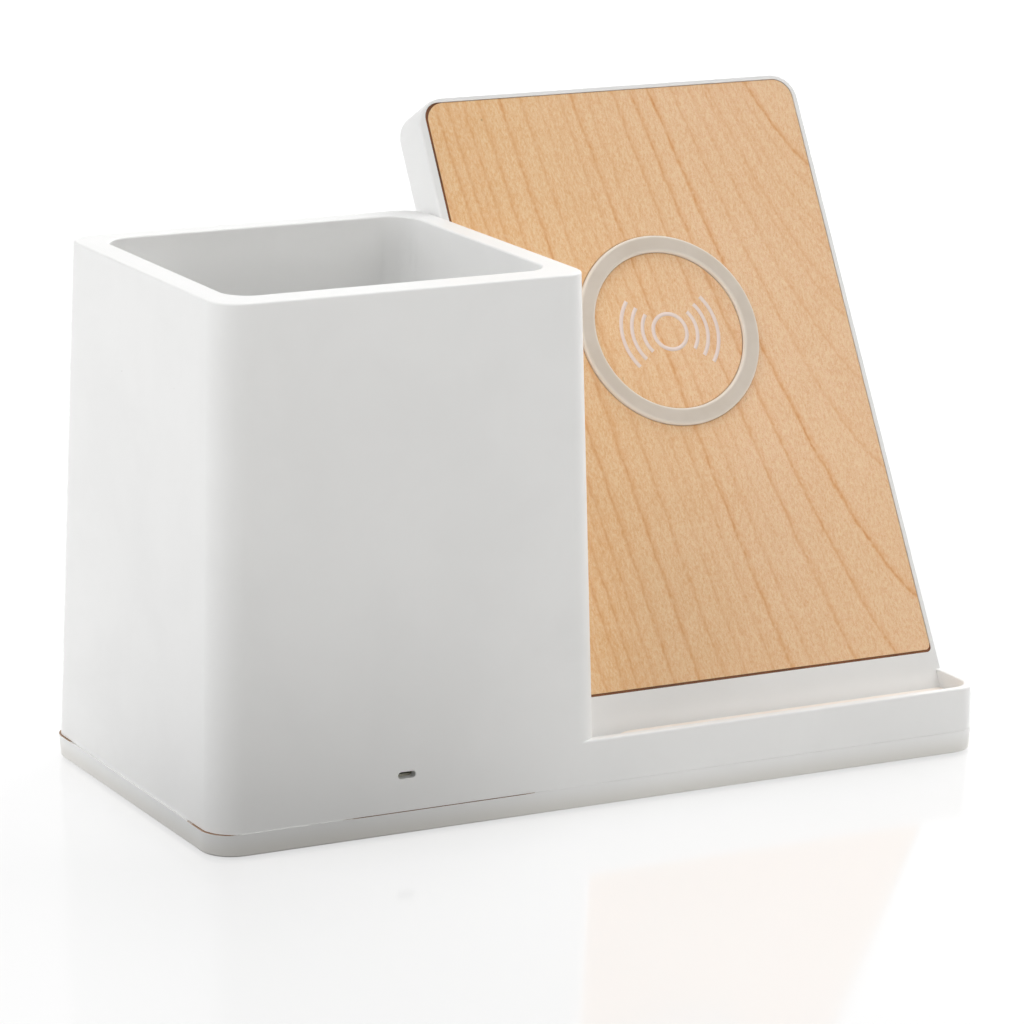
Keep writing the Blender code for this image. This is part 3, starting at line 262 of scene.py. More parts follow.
def cut(mesh, place=uprightFrame):
    return "DIFFERENCE", mesh, place


def add(mesh, place=uprightFrame):
    return "UNION", mesh, place


def carve(item, *steps):  # Booleans one after another
    tools = []
    for operation, mesh, place in steps:
        tools.append(toObject(item.name + "Tool" + str(len(tools)), mesh, place))
        modifier = item.modifiers.new("cut", "BOOLEAN")
        modifier.operation = operation
        modifier.solver = "EXACT"
        modifier.object = tools[-1]
    bake(item)
    for tool in tools:
        bpy.data.objects.remove(tool)


def shade(item, angle=30):  # smooth, with sharp edges kept and flat faces left flat
    item.data.shade_smooth()
    item.data.set_sharp_from_angle(angle=math.radians(angle))
    modifier = item.modifiers.new("flatFaces", "WEIGHTED_NORMAL")
    modifier.keep_sharp = True
    modifier.weight = 100
    bake(item)


def setFinish(item, material):
    item.data.materials.clear()
    item.data.materials.append(material)


def finishPiece(item, slot, *replaced, finish=None):  # the finish is the slot's own unless another is named
    setFinish(item, materials[finish or slot])
    if replaced:
        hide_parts(*replaced)
    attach(item, "root")


def makePiece(name, mesh, place, slot, node, *steps):
    item = toObject(name, mesh, place)
    if steps:
        carve(item, *steps)
    shade(item)
    finishPiece(item, slot, node)
    return item


# node helpers
def socketNamed(sockets, name):
    return [socket for socket in sockets if socket.name == name and socket.enabled][0]


class Nodes:  # adds and links the nodes of one tree
    def __init__(self, tree):
        self.tree = tree
        self.column = -1600

    def add(self, kind, settings=None, **inputs):
        node = self.tree.nodes.new(kind)
        node.location = (self.column, 0)
        self.column += 60
        for name, value in (settings or {}).items():
            setattr(node, name, value)
        for name, value in inputs.items():
            if name[1:].isdigit():  # i0, i1 and so on go by the socket's place in the row
                self.feed(node.inputs[int(name[1:])], value)
            else:
                self.feed(socketNamed(node.inputs, name.replace("_", " ")), value)
        return node

    def feed(self, socket, value):
        if isinstance(value, bpy.types.NodeSocket):
            self.tree.links.new(value, socket)
        else:
            socket.default_value = value

    def math(self, operation, first, second=0.0, third=0.0):
        return self.add("ShaderNodeMath", {"operation": operation}, i0=first, i1=second, i2=third).outputs[0]

    def times(self, first, second):
        return self.math("MULTIPLY", first, second)

    def plus(self, first, second):
        return self.math("ADD", first, second)

    def minus(self, first, second):
        return self.math("SUBTRACT", first, second)

    def vectorMath(self, operation, *values, **named):
        values = {"i" + str(k): value for k, value in enumerate(values)}
        node = self.add("ShaderNodeVectorMath", {"operation": operation}, **values, **named)
        return node.outputs["Value" if operation in ("LENGTH", "DISTANCE") else "Vector"]

    def split(self, vector):
        return self.add("ShaderNodeSeparateXYZ", {}, Vector=vector).outputs

    def ramp(self, value, low, high, toLow=0.0, toHigh=1.0, kind="SMOOTHSTEP"):
        return self.add("ShaderNodeMapRange", {"interpolation_type": kind}, i0=value, i1=low, i2=high, i3=toLow,
                        i4=toHigh).outputs[0]

    def line(self, value, low, high, toLow=0.0, toHigh=1.0):
        return self.ramp(value, low, high, toLow, toHigh, "LINEAR")

    def noise(self, vector, scale, detail=2.0, roughness=0.5, distortion=0.0, output="Fac"):
        return self.add("ShaderNodeTexNoise", {}, Vector=vector, Scale=scale, Detail=detail,
                        Roughness=roughness, Distortion=distortion).outputs[output]

    def cells(self, vector, scale):
        return self.add("ShaderNodeTexVoronoi", {"feature": "F1"}, Vector=vector, Scale=scale).outputs

    def mix(self, share, first, second):
        node = self.add("ShaderNodeMix", {"data_type": "RGBA"}, Factor=share, A=first, B=second)
        return socketNamed(node.outputs, "Result")

    def group(self, tree, **inputs):
        return self.add("ShaderNodeGroup", {"node_tree": tree}, **inputs).outputs

    def attribute(self, name):
        return self.add("ShaderNodeAttribute", {"attribute_name": name}).outputs["Fac"]

    def seen(self):  # 1 for what the camera sees, straight or in a reflection
        rays = self.add("ShaderNodeLightPath").outputs
        mirrored = self.plus(rays["Is Glossy Ray"], rays["Is Transmission Ray"])
        return rays["Is Camera Ray"], self.math("MINIMUM", self.plus(rays["Is Camera Ray"], mirrored), 1.0)


class Group(Nodes):  # a new node group: reading g["Name"] gives an input, writing g["Name"] sets an output
    def __init__(self, name, inputs, outputs, kind="Float"):
        treeKind = "GeometryNodeTree" if kind == "Geometry" else "ShaderNodeTree"
        super().__init__(bpy.data.node_groups.new(name, treeKind))
        for label, value in inputs.items():
            socketKind = "NodeSocket" + type(value).__name__.title()  # Float, Int, Vector and so on
            socket = self.tree.interface.new_socket(name=label, in_out="INPUT", socket_type=socketKind)
            if not isinstance(value, bpy.types.ID):
                socket.default_value = value
        for label in outputs:
            self.tree.interface.new_socket(name=label, in_out="OUTPUT", socket_type="NodeSocket" + kind)
        self.start = self.add("NodeGroupInput")
        self.end = self.tree.nodes.new("NodeGroupOutput")

    def __getitem__(self, name):
        return self.start.outputs[name]

    def __setitem__(self, name, value):
        self.end.location = (self.column, 0)
        self.tree.links.new(value, self.end.inputs[name])


class Finish(Nodes):  # a new material, with its shader and Object coordinates
    def __init__(self, name):
        self.material = bpy.data.materials.new(name + "Finish")
        self.material.use_nodes = True
        super().__init__(self.material.node_tree)
        self.shader = self.tree.nodes["Principled BSDF"]
        self.place = self.add("ShaderNodeTexCoord").outputs["Object"]

    def close(self, rough, height, strength, depth):
        bump = self.add("ShaderNodeBump", {}, Strength=strength, Distance=depth, Height=height).outputs[0]
        for name, value in (("Base Color", self.paint), ("Roughness", rough), ("Normal", bump)):
            self.tree.links.new(value, self.shader.inputs[name])
        return self.material

    def grain(self, fine, broad):
        return self.group(surfaceGrain, Vector=self.place, Fine=fine, Broad=broad)

    def specks(self, scale, size, share):
        return self.group(dustSpecks, Vector=self.place, Scale=scale, Size=size, Share=share)["Mask"]

    def lay(self, mask, paint):  # lays a paint over what is there, where the mask is
        self.paint = self.mix(mask, self.paint, paint)

    def leaning(self, start):  # coordinates that run along the leaning panel from this point
        return self.add("ShaderNodeMapping", {"vector_type": "TEXTURE"}, Vector=self.place, Location=start,
                        Rotation=(-stand["lean"], 0.0, 0.0)).outputs[0]

    def fromRing(self):  # distance from the middle line of the raised ring, along the panel
        flat = self.vectorMath("MULTIPLY", self.leaning(ringFrame(0.0).translation), (1.0, 0.0, 1.0))
        return self.math("ABSOLUTE", self.minus(self.vectorMath("LENGTH", flat), ring["middle"]))


def colour(red, green, blue):  # from values of 0 to 255
    linear = [((c / 255 + 0.055) / 1.055) ** 2.4 if c > 10 else c / 255 / 12.92 for c in (red, green, blue)]
    return (*linear, 1.0)


# fine grain of a moulded or rubbed surface, shared by most finishes
def makeSurfaceGrain():
    g = Group("surfaceGrain", {"Vector": Vector(), "Fine": 4500.0, "Broad": 60.0},
              ("Height", "Mottle", "Cloud"))
    fine = g.noise(g["Vector"], g["Fine"], 3.0, 0.65)
    pits = g.cells(g["Vector"], g.times(g["Fine"], 0.55))["Distance"]
    g["Height"] = g.plus(g.times(fine, 0.7), g.times(pits, 0.3))
    g["Mottle"] = g.ramp(g.noise(g["Vector"], g.times(g["Broad"], 9.0), 4.0, 0.6), 0.3, 0.7)
    g["Cloud"] = g.ramp(g.noise(g["Vector"], g["Broad"], 3.0, 0.55, 0.4), 0.3, 0.7)
    return g.tree


# tiny dark specks and lint, sparse
def makeSpecks():
    g = Group("dustSpecks", {"Vector": Vector(), "Scale": 160.0, "Size": 0.06, "Share": 0.12}, ("Mask",))
    shift = g.vectorMath("SCALE", g.noise(g["Vector"], 900.0, output="Color"), Scale=0.0008)
    cells = g.cells(g.vectorMath("ADD", g["Vector"], shift), g["Scale"])
    dot = g.ramp(cells["Distance"], g["Size"], g.times(g["Size"], 0.4))
    number = g.add("ShaderNodeSeparateColor", {}, Color=cells["Color"]).outputs[0]
    g["Mask"] = g.times(dot, g.math("LESS_THAN", number, g["Share"]))
    return g.tree


surfaceGrain = makeSurfaceGrain()
dustSpecks = makeSpecks()

def plainFinish(first, second, roughness, grain, bump, **more):
    return {"colours": (first, second), "roughness": roughness, "grain": grain, "bump": bump, **more}


# two close colours, roughness from and to, fine and broad grain, strength and depth of the bump
finishes = {
    "white_plastic": plainFinish(
        (240, 240, 239), (237, 237, 236), (0.40, 0.50), (3600.0, 45.0), (0.05, 0.00003),
        specks=(150.0, 0.022, 0.05), speckColour=(176, 170, 160)),
    "tray_white": plainFinish(
        (240, 240, 239), (237, 237, 236), (0.42, 0.52), (3600.0, 45.0), (0.05, 0.00003),
        specks=(150.0, 0.022, 0.05), speckColour=(176, 170, 160),
        seam=(156, 122, 94),  # painted shade: warm and dark inside the open stretches of the joint
        fade=("Z", 0.0045, 0.0001, (228, 226, 221))),  # painted shade: darker low down, where the floor shades it, between these heights
    # the grey silicone's rim colour is a painted highlight along both edges of the ring
    "grey_silicone": plainFinish(
        (214, 203, 190), (208, 196, 182), (0.50, 0.62), (5200.0, 120.0), (0.08, 0.00003),
        specks=(420.0, 0.05, 0.05), speckColour=(150, 138, 124), rim=(234, 226, 215)),
    "cream_silicone": plainFinish(
        (247, 240, 232), (243, 234, 224), (0.52, 0.62), (4200.0, 90.0), (0.08, 0.00003),
        specks=(300.0, 0.04, 0.04), speckColour=(170, 155, 140)),
    "print": plainFinish((243, 224, 215), (238, 217, 207), (0.52, 0.62), (4200.0, 90.0), (0.1, 0.00003),
                         specks=(300.0, 0.04, 0.04), speckColour=(170, 155, 140)),
    "adhesive": plainFinish((124, 72, 32), (94, 54, 24), (0.55, 0.75), (2500.0, 150.0), (0.2, 0.00004)),
    "rubber": plainFinish((52, 52, 53), (40, 40, 41), (0.72, 0.88), (3500.0, 140.0), (0.25, 0.00004)),
    "coil_copper": plainFinish((198, 124, 78), (170, 96, 56), (0.28, 0.42), (6000.0, 200.0), (0.15, 0.00003),
                               metallic=1.0),
    "ferrite": plainFinish((66, 66, 68), (48, 48, 50), (0.45, 0.68), (4200.0, 260.0), (0.3, 0.00004)),
    "black_plastic": plainFinish((36, 36, 37), (27, 27, 28), (0.42, 0.58), (4200.0, 120.0), (0.15, 0.00003)),
    "steel": plainFinish((196, 197, 200), (176, 178, 182), (0.22, 0.38), (7000.0, 420.0), (0.12, 0.00002),
                         metallic=1.0),
    "chip_black": plainFinish((34, 34, 36), (26, 26, 28), (0.38, 0.55), (5200.0, 300.0), (0.15, 0.00002)),
    "ceramic": plainFinish((176, 150, 122), (158, 131, 104), (0.35, 0.5), (5200.0, 400.0), (0.15, 0.00002)),
    "clear_plastic": plainFinish(
        (150, 148, 134), (128, 126, 112), (0.12, 0.24), (5200.0, 300.0), (0.06, 0.00002),
        fade=("Y", 0.0027, 0.0034, (26, 19, 14))),  # painted shade: dark beyond these depths, deep inside the slot
    "lamp_white": plainFinish((246, 241, 206), (235, 226, 180), (0.25, 0.4), (5200.0, 900.0), (0.08, 0.00002)),
    "wire_sleeve": plainFinish((178, 44, 38), (152, 32, 28), (0.35, 0.5), (5200.0, 180.0), (0.1, 0.00002)),
}


def makeFinish(name):
    settings = finishes[name]
    s = Finish(name)
    grain = s.grain(*settings["grain"])
    s.paint = s.mix(grain["Cloud"], *[colour(*tone) for tone in settings["colours"]])
    if "specks" in settings:
        s.lay(s.specks(*settings["specks"]), colour(*settings["speckColour"]))
    if "seam" in settings:
        # painted shade in the open stretches of the joint, where the tray's joint attribute is set
        s.lay(s.attribute("joint"), colour(*settings["seam"]))
    # painted shade: darker along one axis between two places, towards the given tone
    if "fade" in settings:
        axis, start, end, tone = settings["fade"]
        place = s.minus(s.split(s.place)[axis], getattr(origin, axis.lower()))
        s.lay(s.ramp(place, start, end), colour(*tone))
    if "rim" in settings:  # painted highlight: the ring comes out paler towards both its edges
        half = ring["width"] / 2
        s.lay(s.ramp(s.fromRing(), half * 0.55, half * 0.96), colour(*settings["rim"]))
    s.shader.inputs["Metallic"].default_value = settings.get("metallic", 0.0)
    rough = s.line(grain["Mottle"], 0.0, 1.0, *settings["roughness"])
    return s.close(rough, grain["Height"], *settings["bump"])


# maple: growth lines that fan out to the right, clouds between them and short fibres
wood = {
    "level": 0.82,  # share of a paint that comes back from the leaning panel, and the shine that is added to it
    "shine": 0.04,
    "brightest": 0.96,
    "axis": 0.1708,  # where the lines turn away from, measured from the tray's left end
    "top": 0.1290,
    "start": 0.03112,
    "bend": (75.52, -93.2),
    "slant": -0.00804,
    "ringScale": 10000.0,
    # noise: length of the streaks, scale, detail and roughness, then its reach in mm
    "waves": ((0.7, 210.0, 2.0, 0.5), 0.55),
    "teeth": ((0.6, 1100.0, 2.0, 0.6), 0.30),
    "core": 0.42,  # half width of the sharp line and width of the soft band beside it, in mm
    "band": 1.8,
    "lines": (  # ring number and strength
        (23.64, 0.85), (24.8, 0.30), (26.5, 0.34), (27.28, 0.26), (29.05, 0.40), (29.83, 0.34), (32.0, 0.42),
        (34.8, 0.46), (38.49, 1.0), (41.53, 0.75), (44.68, 0.64), (47.2, 0.2), (49.2, 0.40), (51.66, 0.80),
        (53.83, 0.40), (55.99, 0.26), (57.46, 0.30), (60.4, 0.50), (63.86, 0.85), (67.4, 0.70), (70.05, 0.60),
        (71.23, 0.32), (72.71, 0.62), (74.67, 0.66), (77.3, 0.5),
    ),
    "wear": ((0.45, 240.0, 3.0, 0.6), 0.3, 0.66, 0.15, 1.0),  # noise, then from and to
    "breaks": ((0.6, 1700.0, 2.0, 0.65), 0.34, 0.62, 0.15, 1.0),
    "mottle": ((0.7, 950.0, 3.0, 0.7), 0.33, 0.66, 0.25, 1.25),
    "clouds": ((0.75, 150.0, 3.0, 0.6, 0.4), 0.3, 0.7),
    "ground": ((222, 180, 134), (235, 199, 160)),
    "shadedLeft": (0.004, 0.055, 0.36, 0.0, (222, 178, 122)),  # painted shade on the left of the panel: from and to across the panel, shares there and colour
    # painted light on the right of the panel, paler
    "litRight": (0.015, 0.06, 0.0, 0.38, (233, 201, 190)),
    "broad": (24.0, 0.35, (222, 183, 140)),  # scale, share and colour
    "marks": {  # noise, from and to, then share and colour, laid over the ground in this order
        "flecks": (((0.6, 1900.0, 3.0, 0.65), 0.32, 0.68), 0.38, (210, 157, 107)),
        "grit": (((0.75, 5600.0, 1.0, 0.5), 0.3, 0.7), 0.62, (207, 152, 100)),
        "fibres": (((0.4, 3300.0, 2.0, 0.65), 0.3, 0.7), 0.60, (244, 213, 178)),
    },
    "soft": (0.62, 0.9, (212, 156, 106)),  # share, most that shows, and colour
    "dark": (0.86, 0.95, (201, 137, 84)),
    "patches": ((420.0, 3.0, 0.7, 0.5), 0.62, 0.74),
    "smudge": (0.0022, 0.0003, 0.5, (132, 96, 60)),  # beside the ring: reach, full at, share and colour
    # a thin dark band round the ring, partly burn and partly painted contact shadow: reach, full at, share and
    # colour
    "burnAndShade": (0.00035, 0.0, 0.4, (120, 82, 46)),
    "char": (150, 96, 52),
    "specks": (105.0, 0.045, 0.10), "speckShare": 0.6, "speckColour": (120, 90, 62),
    "grain": (3000.0, 80.0), "roughness": (0.50, 0.62), "bump": (0.20, 0.00004),
}


def woodPaint(red, green, blue):  # the paint that shows as this colour on the panel
    linear = colour(red, green, blue)[:3]
    return (*[min(wood["brightest"], max(0.0, (c - wood["shine"]) / wood["level"])) for c in linear], 1.0)


def makeGrowthLine():
    g = Group("growthLine", {"Ring": 0.0, "Place": 30.0, "Stretch": 1.5, "Wobble": 0.0, "Core": 0.3,
                             "Band": 1.4, "Strength": 1.0}, ("Line", "Soft"))
    off = g.math("MULTIPLY_ADD", g.minus(g["Ring"], g["Place"]), g["Stretch"], g["Wobble"])
    g["Line"] = g.times(g.ramp(g.math("ABSOLUTE", off), g["Core"], 0.0), g["Strength"])
    rise = g.ramp(off, g.times(g["Band"], -1.0), 0.1)
    fall = g.ramp(off, g.times(g["Band"], 0.45), 0.0)
    g["Soft"] = g.times(g.times(rise, fall), g["Strength"])
    return g.tree


def makeWood():
    s = Finish("maple")
    growthLine = makeGrowthLine()
    flat = s.leaning(standFrame.translation)  # upright, from the slab's lower left corner
    across, up = s.split(flat)["X"], s.split(flat)["Z"]

    def streaks(length, *noise):
        return s.noise(s.vectorMath("MULTIPLY", flat, (1.0, 1.0, length)), *noise)

    def mask(noise, *limits):
        return s.line(streaks(*noise), *limits)

    # ring number: root of the distance down plus a curve of the distance from the axis
    square, cube = wood["bend"]
    away = s.minus(wood["axis"] - stand["left"], across)
    awaySquared = s.times(away, away)
    total = s.math("MULTIPLY_ADD", awaySquared, square, s.minus(wood["top"] + wood["start"], up))
    total = s.math("MULTIPLY_ADD", s.times(awaySquared, away), cube, total)
    total = s.math("MULTIPLY_ADD", across, wood["slant"], total)
    ringNumber = s.math("SQRT", s.times(s.math("MAXIMUM", total, 0.0001), wood["ringScale"]))
    # millimetres per ring number here
    steep = s.math("MULTIPLY_ADD", away, 2 * square, -wood["slant"])
    steep = s.math("MULTIPLY_ADD", awaySquared, 3 * cube, steep)
    slope = s.math("SQRT", s.math("MULTIPLY_ADD", steep, steep, 1.0))
    stretch = s.math("DIVIDE", s.times(ringNumber, 2000 / wood["ringScale"]), slope)
    (waves, waveReach), (teeth, toothReach) = wood["waves"], wood["teeth"]
    waves, teeth = s.minus(streaks(*waves), 0.5), s.minus(streaks(*teeth), 0.5)
    wobble = s.math("MULTIPLY_ADD", teeth, toothReach * 2, s.times(waves, waveReach * 2))
    lines, softs = 0.0, 0.0
    for number, strength in wood["lines"]:
        line = s.group(growthLine, Ring=ringNumber, Place=number, Stretch=stretch, Wobble=wobble,
                       Core=wood["core"], Band=wood["band"], Strength=strength)
        lines, softs = s.plus(lines, line["Line"]), s.plus(softs, line["Soft"])
    lines = s.times(s.times(lines, mask(*wood["wear"])), mask(*wood["breaks"]))
    softs = s.times(s.math("MINIMUM", softs, 1.0), mask(*wood["mottle"]))

    # ground: clouds of a few millimetres, then short upright flecks
    s.paint = s.mix(mask(*wood["clouds"]), *[woodPaint(*tone) for tone in wood["ground"]])
    # painted light across the panel: darker and warmer on the left, paler on the right
    for name in ("shadedLeft", "litRight"):
        s.lay(s.line(across, *wood[name][:4]), woodPaint(*wood[name][4]))
    scale, share, tone = wood["broad"]
    s.lay(s.times(s.line(s.noise(flat, scale, 1.0, 0.5), 0.3, 0.7), share), woodPaint(*tone))
    marks = {}
    for name, (noise, share, tone) in wood["marks"].items():
        marks[name] = mask(*noise)
        s.lay(s.times(marks[name], share), woodPaint(*tone))
    for layer, (share, most, tone) in ((softs, wood["soft"]), (lines, wood["dark"])):
        s.lay(s.math("MINIMUM", s.times(layer, share), most), woodPaint(*tone))

    # smudges beside the ring, a thin dark band round it that is partly burn and partly painted contact shadow,
    # and char on the cut sides
    beyond = s.minus(s.fromRing(), ring["width"] / 2)
    noise, low, high = wood["patches"]
    for name, where in (("smudge", s.ramp(s.noise(flat, *noise), low, high)), ("burnAndShade", 1.0)):
        reach, full, share, tone = wood[name]
        s.lay(s.times(s.times(s.ramp(beyond, reach, full), where), share), woodPaint(*tone))
    s.lay(s.attribute("burn"), colour(*wood["char"]))
    s.lay(s.times(s.specks(*wood["specks"]), wood["speckShare"]), colour(*wood["speckColour"]))

    height = s.math("MULTIPLY_ADD", marks["fibres"], 0.5, s.times(s.grain(*wood["grain"])["Height"], 0.3))
    height = s.math("MULTIPLY_ADD", lines, -0.3, height)
    return s.close(s.line(marks["flecks"], 0.0, 1.0, *wood["roughness"]), height, *wood["bump"])


# green board with copper tracks under the mask
board = {"colours": ((28, 98, 62), (22, 84, 52)), "track": (58, 140, 88), "tracks": 180.0, "gap": 0.03,
         "grain": (2400.0, 160.0), "roughness": (0.3, 0.42), "bump": (0.2, 0.00004)}


def makeBoard():
    s = Finish("board")
    tracks = s.add("ShaderNodeTexBrick", {}, Vector=s.place, Scale=board["tracks"], Mortar_Size=board["gap"])
    grain = s.grain(*board["grain"])
    s.paint = s.mix(grain["Cloud"], *[colour(*tone) for tone in board["colours"]])
    s.lay(s.times(tracks.outputs["Fac"], 0.5), colour(*board["track"]))
    rough = s.line(grain["Mottle"], 0.0, 1.0, *board["roughness"])
    return s.close(rough, tracks.outputs["Fac"], *board["bump"])


materials = {name: makeFinish(name) for name in finishes}
materials["maple"] = makeWood()
materials["board_green"] = makeBoard()
print("finishes made:", len(materials))

for entry in frame["record"]["subparts"]:  # the hidden pieces keep their CAD shape and get the same finishes
    setFinish(cadNodes[entry["node"]], materials[entry["material_slot"]])


# housing
def walls(height):  # left, right, front and back of the cup, which leans in with height
    left, right, front, back = (body["draw" + side] * height / body["height"]
                                for side in ("Left", "Right", "Front", "Back"))
    return left, body["cupLength"] - right, front, body["depth"] - back


def bodyLevel(height, amount=0.0, right=None):
    left, end, front, back = walls(height)
    return inset((height, left, end if right is None else right, front, back), height, amount)


def cavityLevel(height, amount=0.0):
    top = body["height"]
    left, right, front, back = walls(top)
    mouth = (top, left + cavity["left"], right - cavity["right"], front + cavity["front"],
             back - cavity["back"])
    share = (top - height) / (top - cavity["floor"])
    return inset(mouth, height, cavity["draw"] * share + amount)


def cupBlock():
    top, edge = body["height"], body["edge"]
    levels = [bodyLevel(body["parting"] + body["joint"]), bodyLevel(body["lip"])]
    levels += [bodyLevel(top - edge + rise, amount) for rise, amount in closingRound(edge)]
    return uprightBlock(levels, body["cupRadii"])


def baseBlock():
    end, edge = body["length"], body["lipEdge"]
    levels = [bodyLevel(body["parting"] + body["joint"], right=end)]
    levels += [bodyLevel(body["lip"] - edge + rise, amount, end) for rise, amount in closingRound(edge)]
    levels = [(level[0], body["cupLength"] / 2, *level[2:]) for level in levels]
    return uprightBlock(levels, (body["edge"], *body["footRadii"][1:3], body["edge"]))


def ledgeCutter():
    floor, lip, edge, small = body["ledgeFloor"], body["lip"], ledge["innerEdge"], body["edge"]

    def level(height, amount):
        return inset((height, body["cupLength"] * 0.75, body["length"] - ledge["sideWall"],
                      walls(height)[2] + ledge["frontWall"], stand["setback"] + stand["thickness"] / 2),
                     height, amount)

    levels = [level(floor + rise, amount) for rise, amount in openingRound(ledge["fillet"])]
    levels += [level(lip - edge + rise, -amount) for rise, amount in closingRound(edge)]
    levels.append(level(lip + body["over"], -edge))
    return uprightBlock(levels, (small, ledge["corner"], small, small))


def roundedIn(depth, radius):
    return 0.0 if depth >= radius else radius - math.sqrt(radius ** 2 - (radius - depth) ** 2)


def standForm():
    edge, thick, steps = stand["edge"], stand["thickness"], stand["edgeSteps"]
    left, right, top = stand["frontEdges"]
    drawnLeft, drawnRight, drawnTop = stand["drawnIn"]
    depths = sorted({rise for radius in (left, right, top, edge)
                     for rise, amount in openingRound(radius, steps)})
    rings = [(depth, *[roundedIn(depth, radius) for radius in (left, right, top)]) for depth in depths]
    rings += [(thick - edge + rise, amount, amount, amount) for rise, amount in closingRound(edge, steps)]
    rows = []
    for depth, fromLeft, fromRight, fromTop in rings:
        low = -stand["foot"] + depth * math.tan(stand["lean"])  # the foot is cut level inside the base
        fromLeft += drawnLeft * (1 - depth / thick)
        outline = roundedRing(fromLeft, stand["width"] - drawnRight - fromRight, low,
                              stand["length"] - drawnTop - fromTop,
                              (edge, edge, stand["endCorner"], stand["corner"]), body["cornerSteps"])
        rows.append([(x, depth, z) for x, z in outline])
    return loft(rows)


def cavityCutter():
    top, edge = body["height"], body["edge"]
    levels = [cavityLevel(cavity["floor"] + rise, amount)
              for rise, amount in openingRound(cavity["fillet"], cavity["filletSteps"])]
    levels += [cavityLevel(top - edge + rise, -amount) for rise, amount in closingRound(edge)]
    levels.append((top + body["over"], *levels[-1][1:]))
    return uprightBlock(levels, (cavity["corner"],) * 4)


def voidCutter():
    wall, roof = body["wall"], body["height"] - body["rimPlate"]
    levels = [bodyLevel(body["parting"] - body["over"], wall), bodyLevel(roof, wall), cavityLevel(roof, -wall),
              cavityLevel(cavity["floor"] - cavity["floorThickness"], -wall)]
    return uprightBlock(levels, [radius - wall for radius in body["cupRadii"]], 8)


def hollowCutter(left, right, front, back, roof, radii):
    low = body["parting"] - body["over"]
    return uprightBlock([(low, left, right, front, back), (roof, left, right, front, back)], radii, 8)


recess = (0.0, stand["recessLeft"], stand["width"] - stand["recessRight"], stand["recessBottom"],
          stand["length"] - stand["recessTop"])  # outline for the wood, on the stand's face


def recessCutter():
    edge = stand["recessEdge"]
    levels = [inset(recess, -body["over"], -edge), inset(recess, 0.0, -edge), inset(recess, edge, 0.0),
              inset(recess, stand["recessDepth"], 0.0)]
    return standBlock(levels, stand["recessRadii"])


def cellCutters():
    half, rib, seat = stand["cell"] / 2, stand["rib"], stand["seat"]

    def spans(low, middle, high):
        return ((low + seat, middle - half - rib), (middle - half, middle + half),
                (middle + half + rib, high - seat))

    depths = (stand["recessDepth"] - slack, stand["thickness"] - stand["backWall"])
    return joined([standBlock([(depth, *column, *row) for depth in depths], (stand["cellCorner"],) * 4, 3)
                   for column in spans(recess[1], ring["across"], recess[2])
                   for row in spans(recess[3], ring["up"], recess[4])])


def slotCutter(width, height, x, z, y0, y1, edge=0.0):
    outer = (0.0, x - width / 2, x + width / 2, z - height / 2, z + height / 2)
    levels = [inset(outer, y0, -edge), inset(outer, y1, 0.0)]
    if edge:
        levels = [inset(outer, y0 - body["over"], -edge), levels[0], inset(outer, y0 + edge, 0.0), levels[1]]
    return standBlock(levels, (height * 0.49,) * 4, 8)


lamp = {"x": 0.0390, "z": 0.01126, "width": 0.0036, "height": 0.0013, "edge": 0.00008}
inlet = {"width": 0.0089, "height": 0.0032, "depth": 0.0073, "wall": 0.0003, "gap": 0.0003, "sink": 0.0004,
         "z": 0.0099}
bosses = {
    "places": ((0.014, 0.020), (0.014, 0.0584), (0.150, 0.020), (0.150, 0.0584)),
    "radius": 0.0032, "pilot": 0.0011, "foot": 0.0025, "sides": 24, "pilotRoof": 0.0005,
    "posts": ((0.0245, 0.0147), (0.0535, 0.0147), (0.0245, 0.0658), (0.0535, 0.0658)),
    "postRadius": 0.0024, "postFoot": 0.0085, "postPilot": 0.004,
}


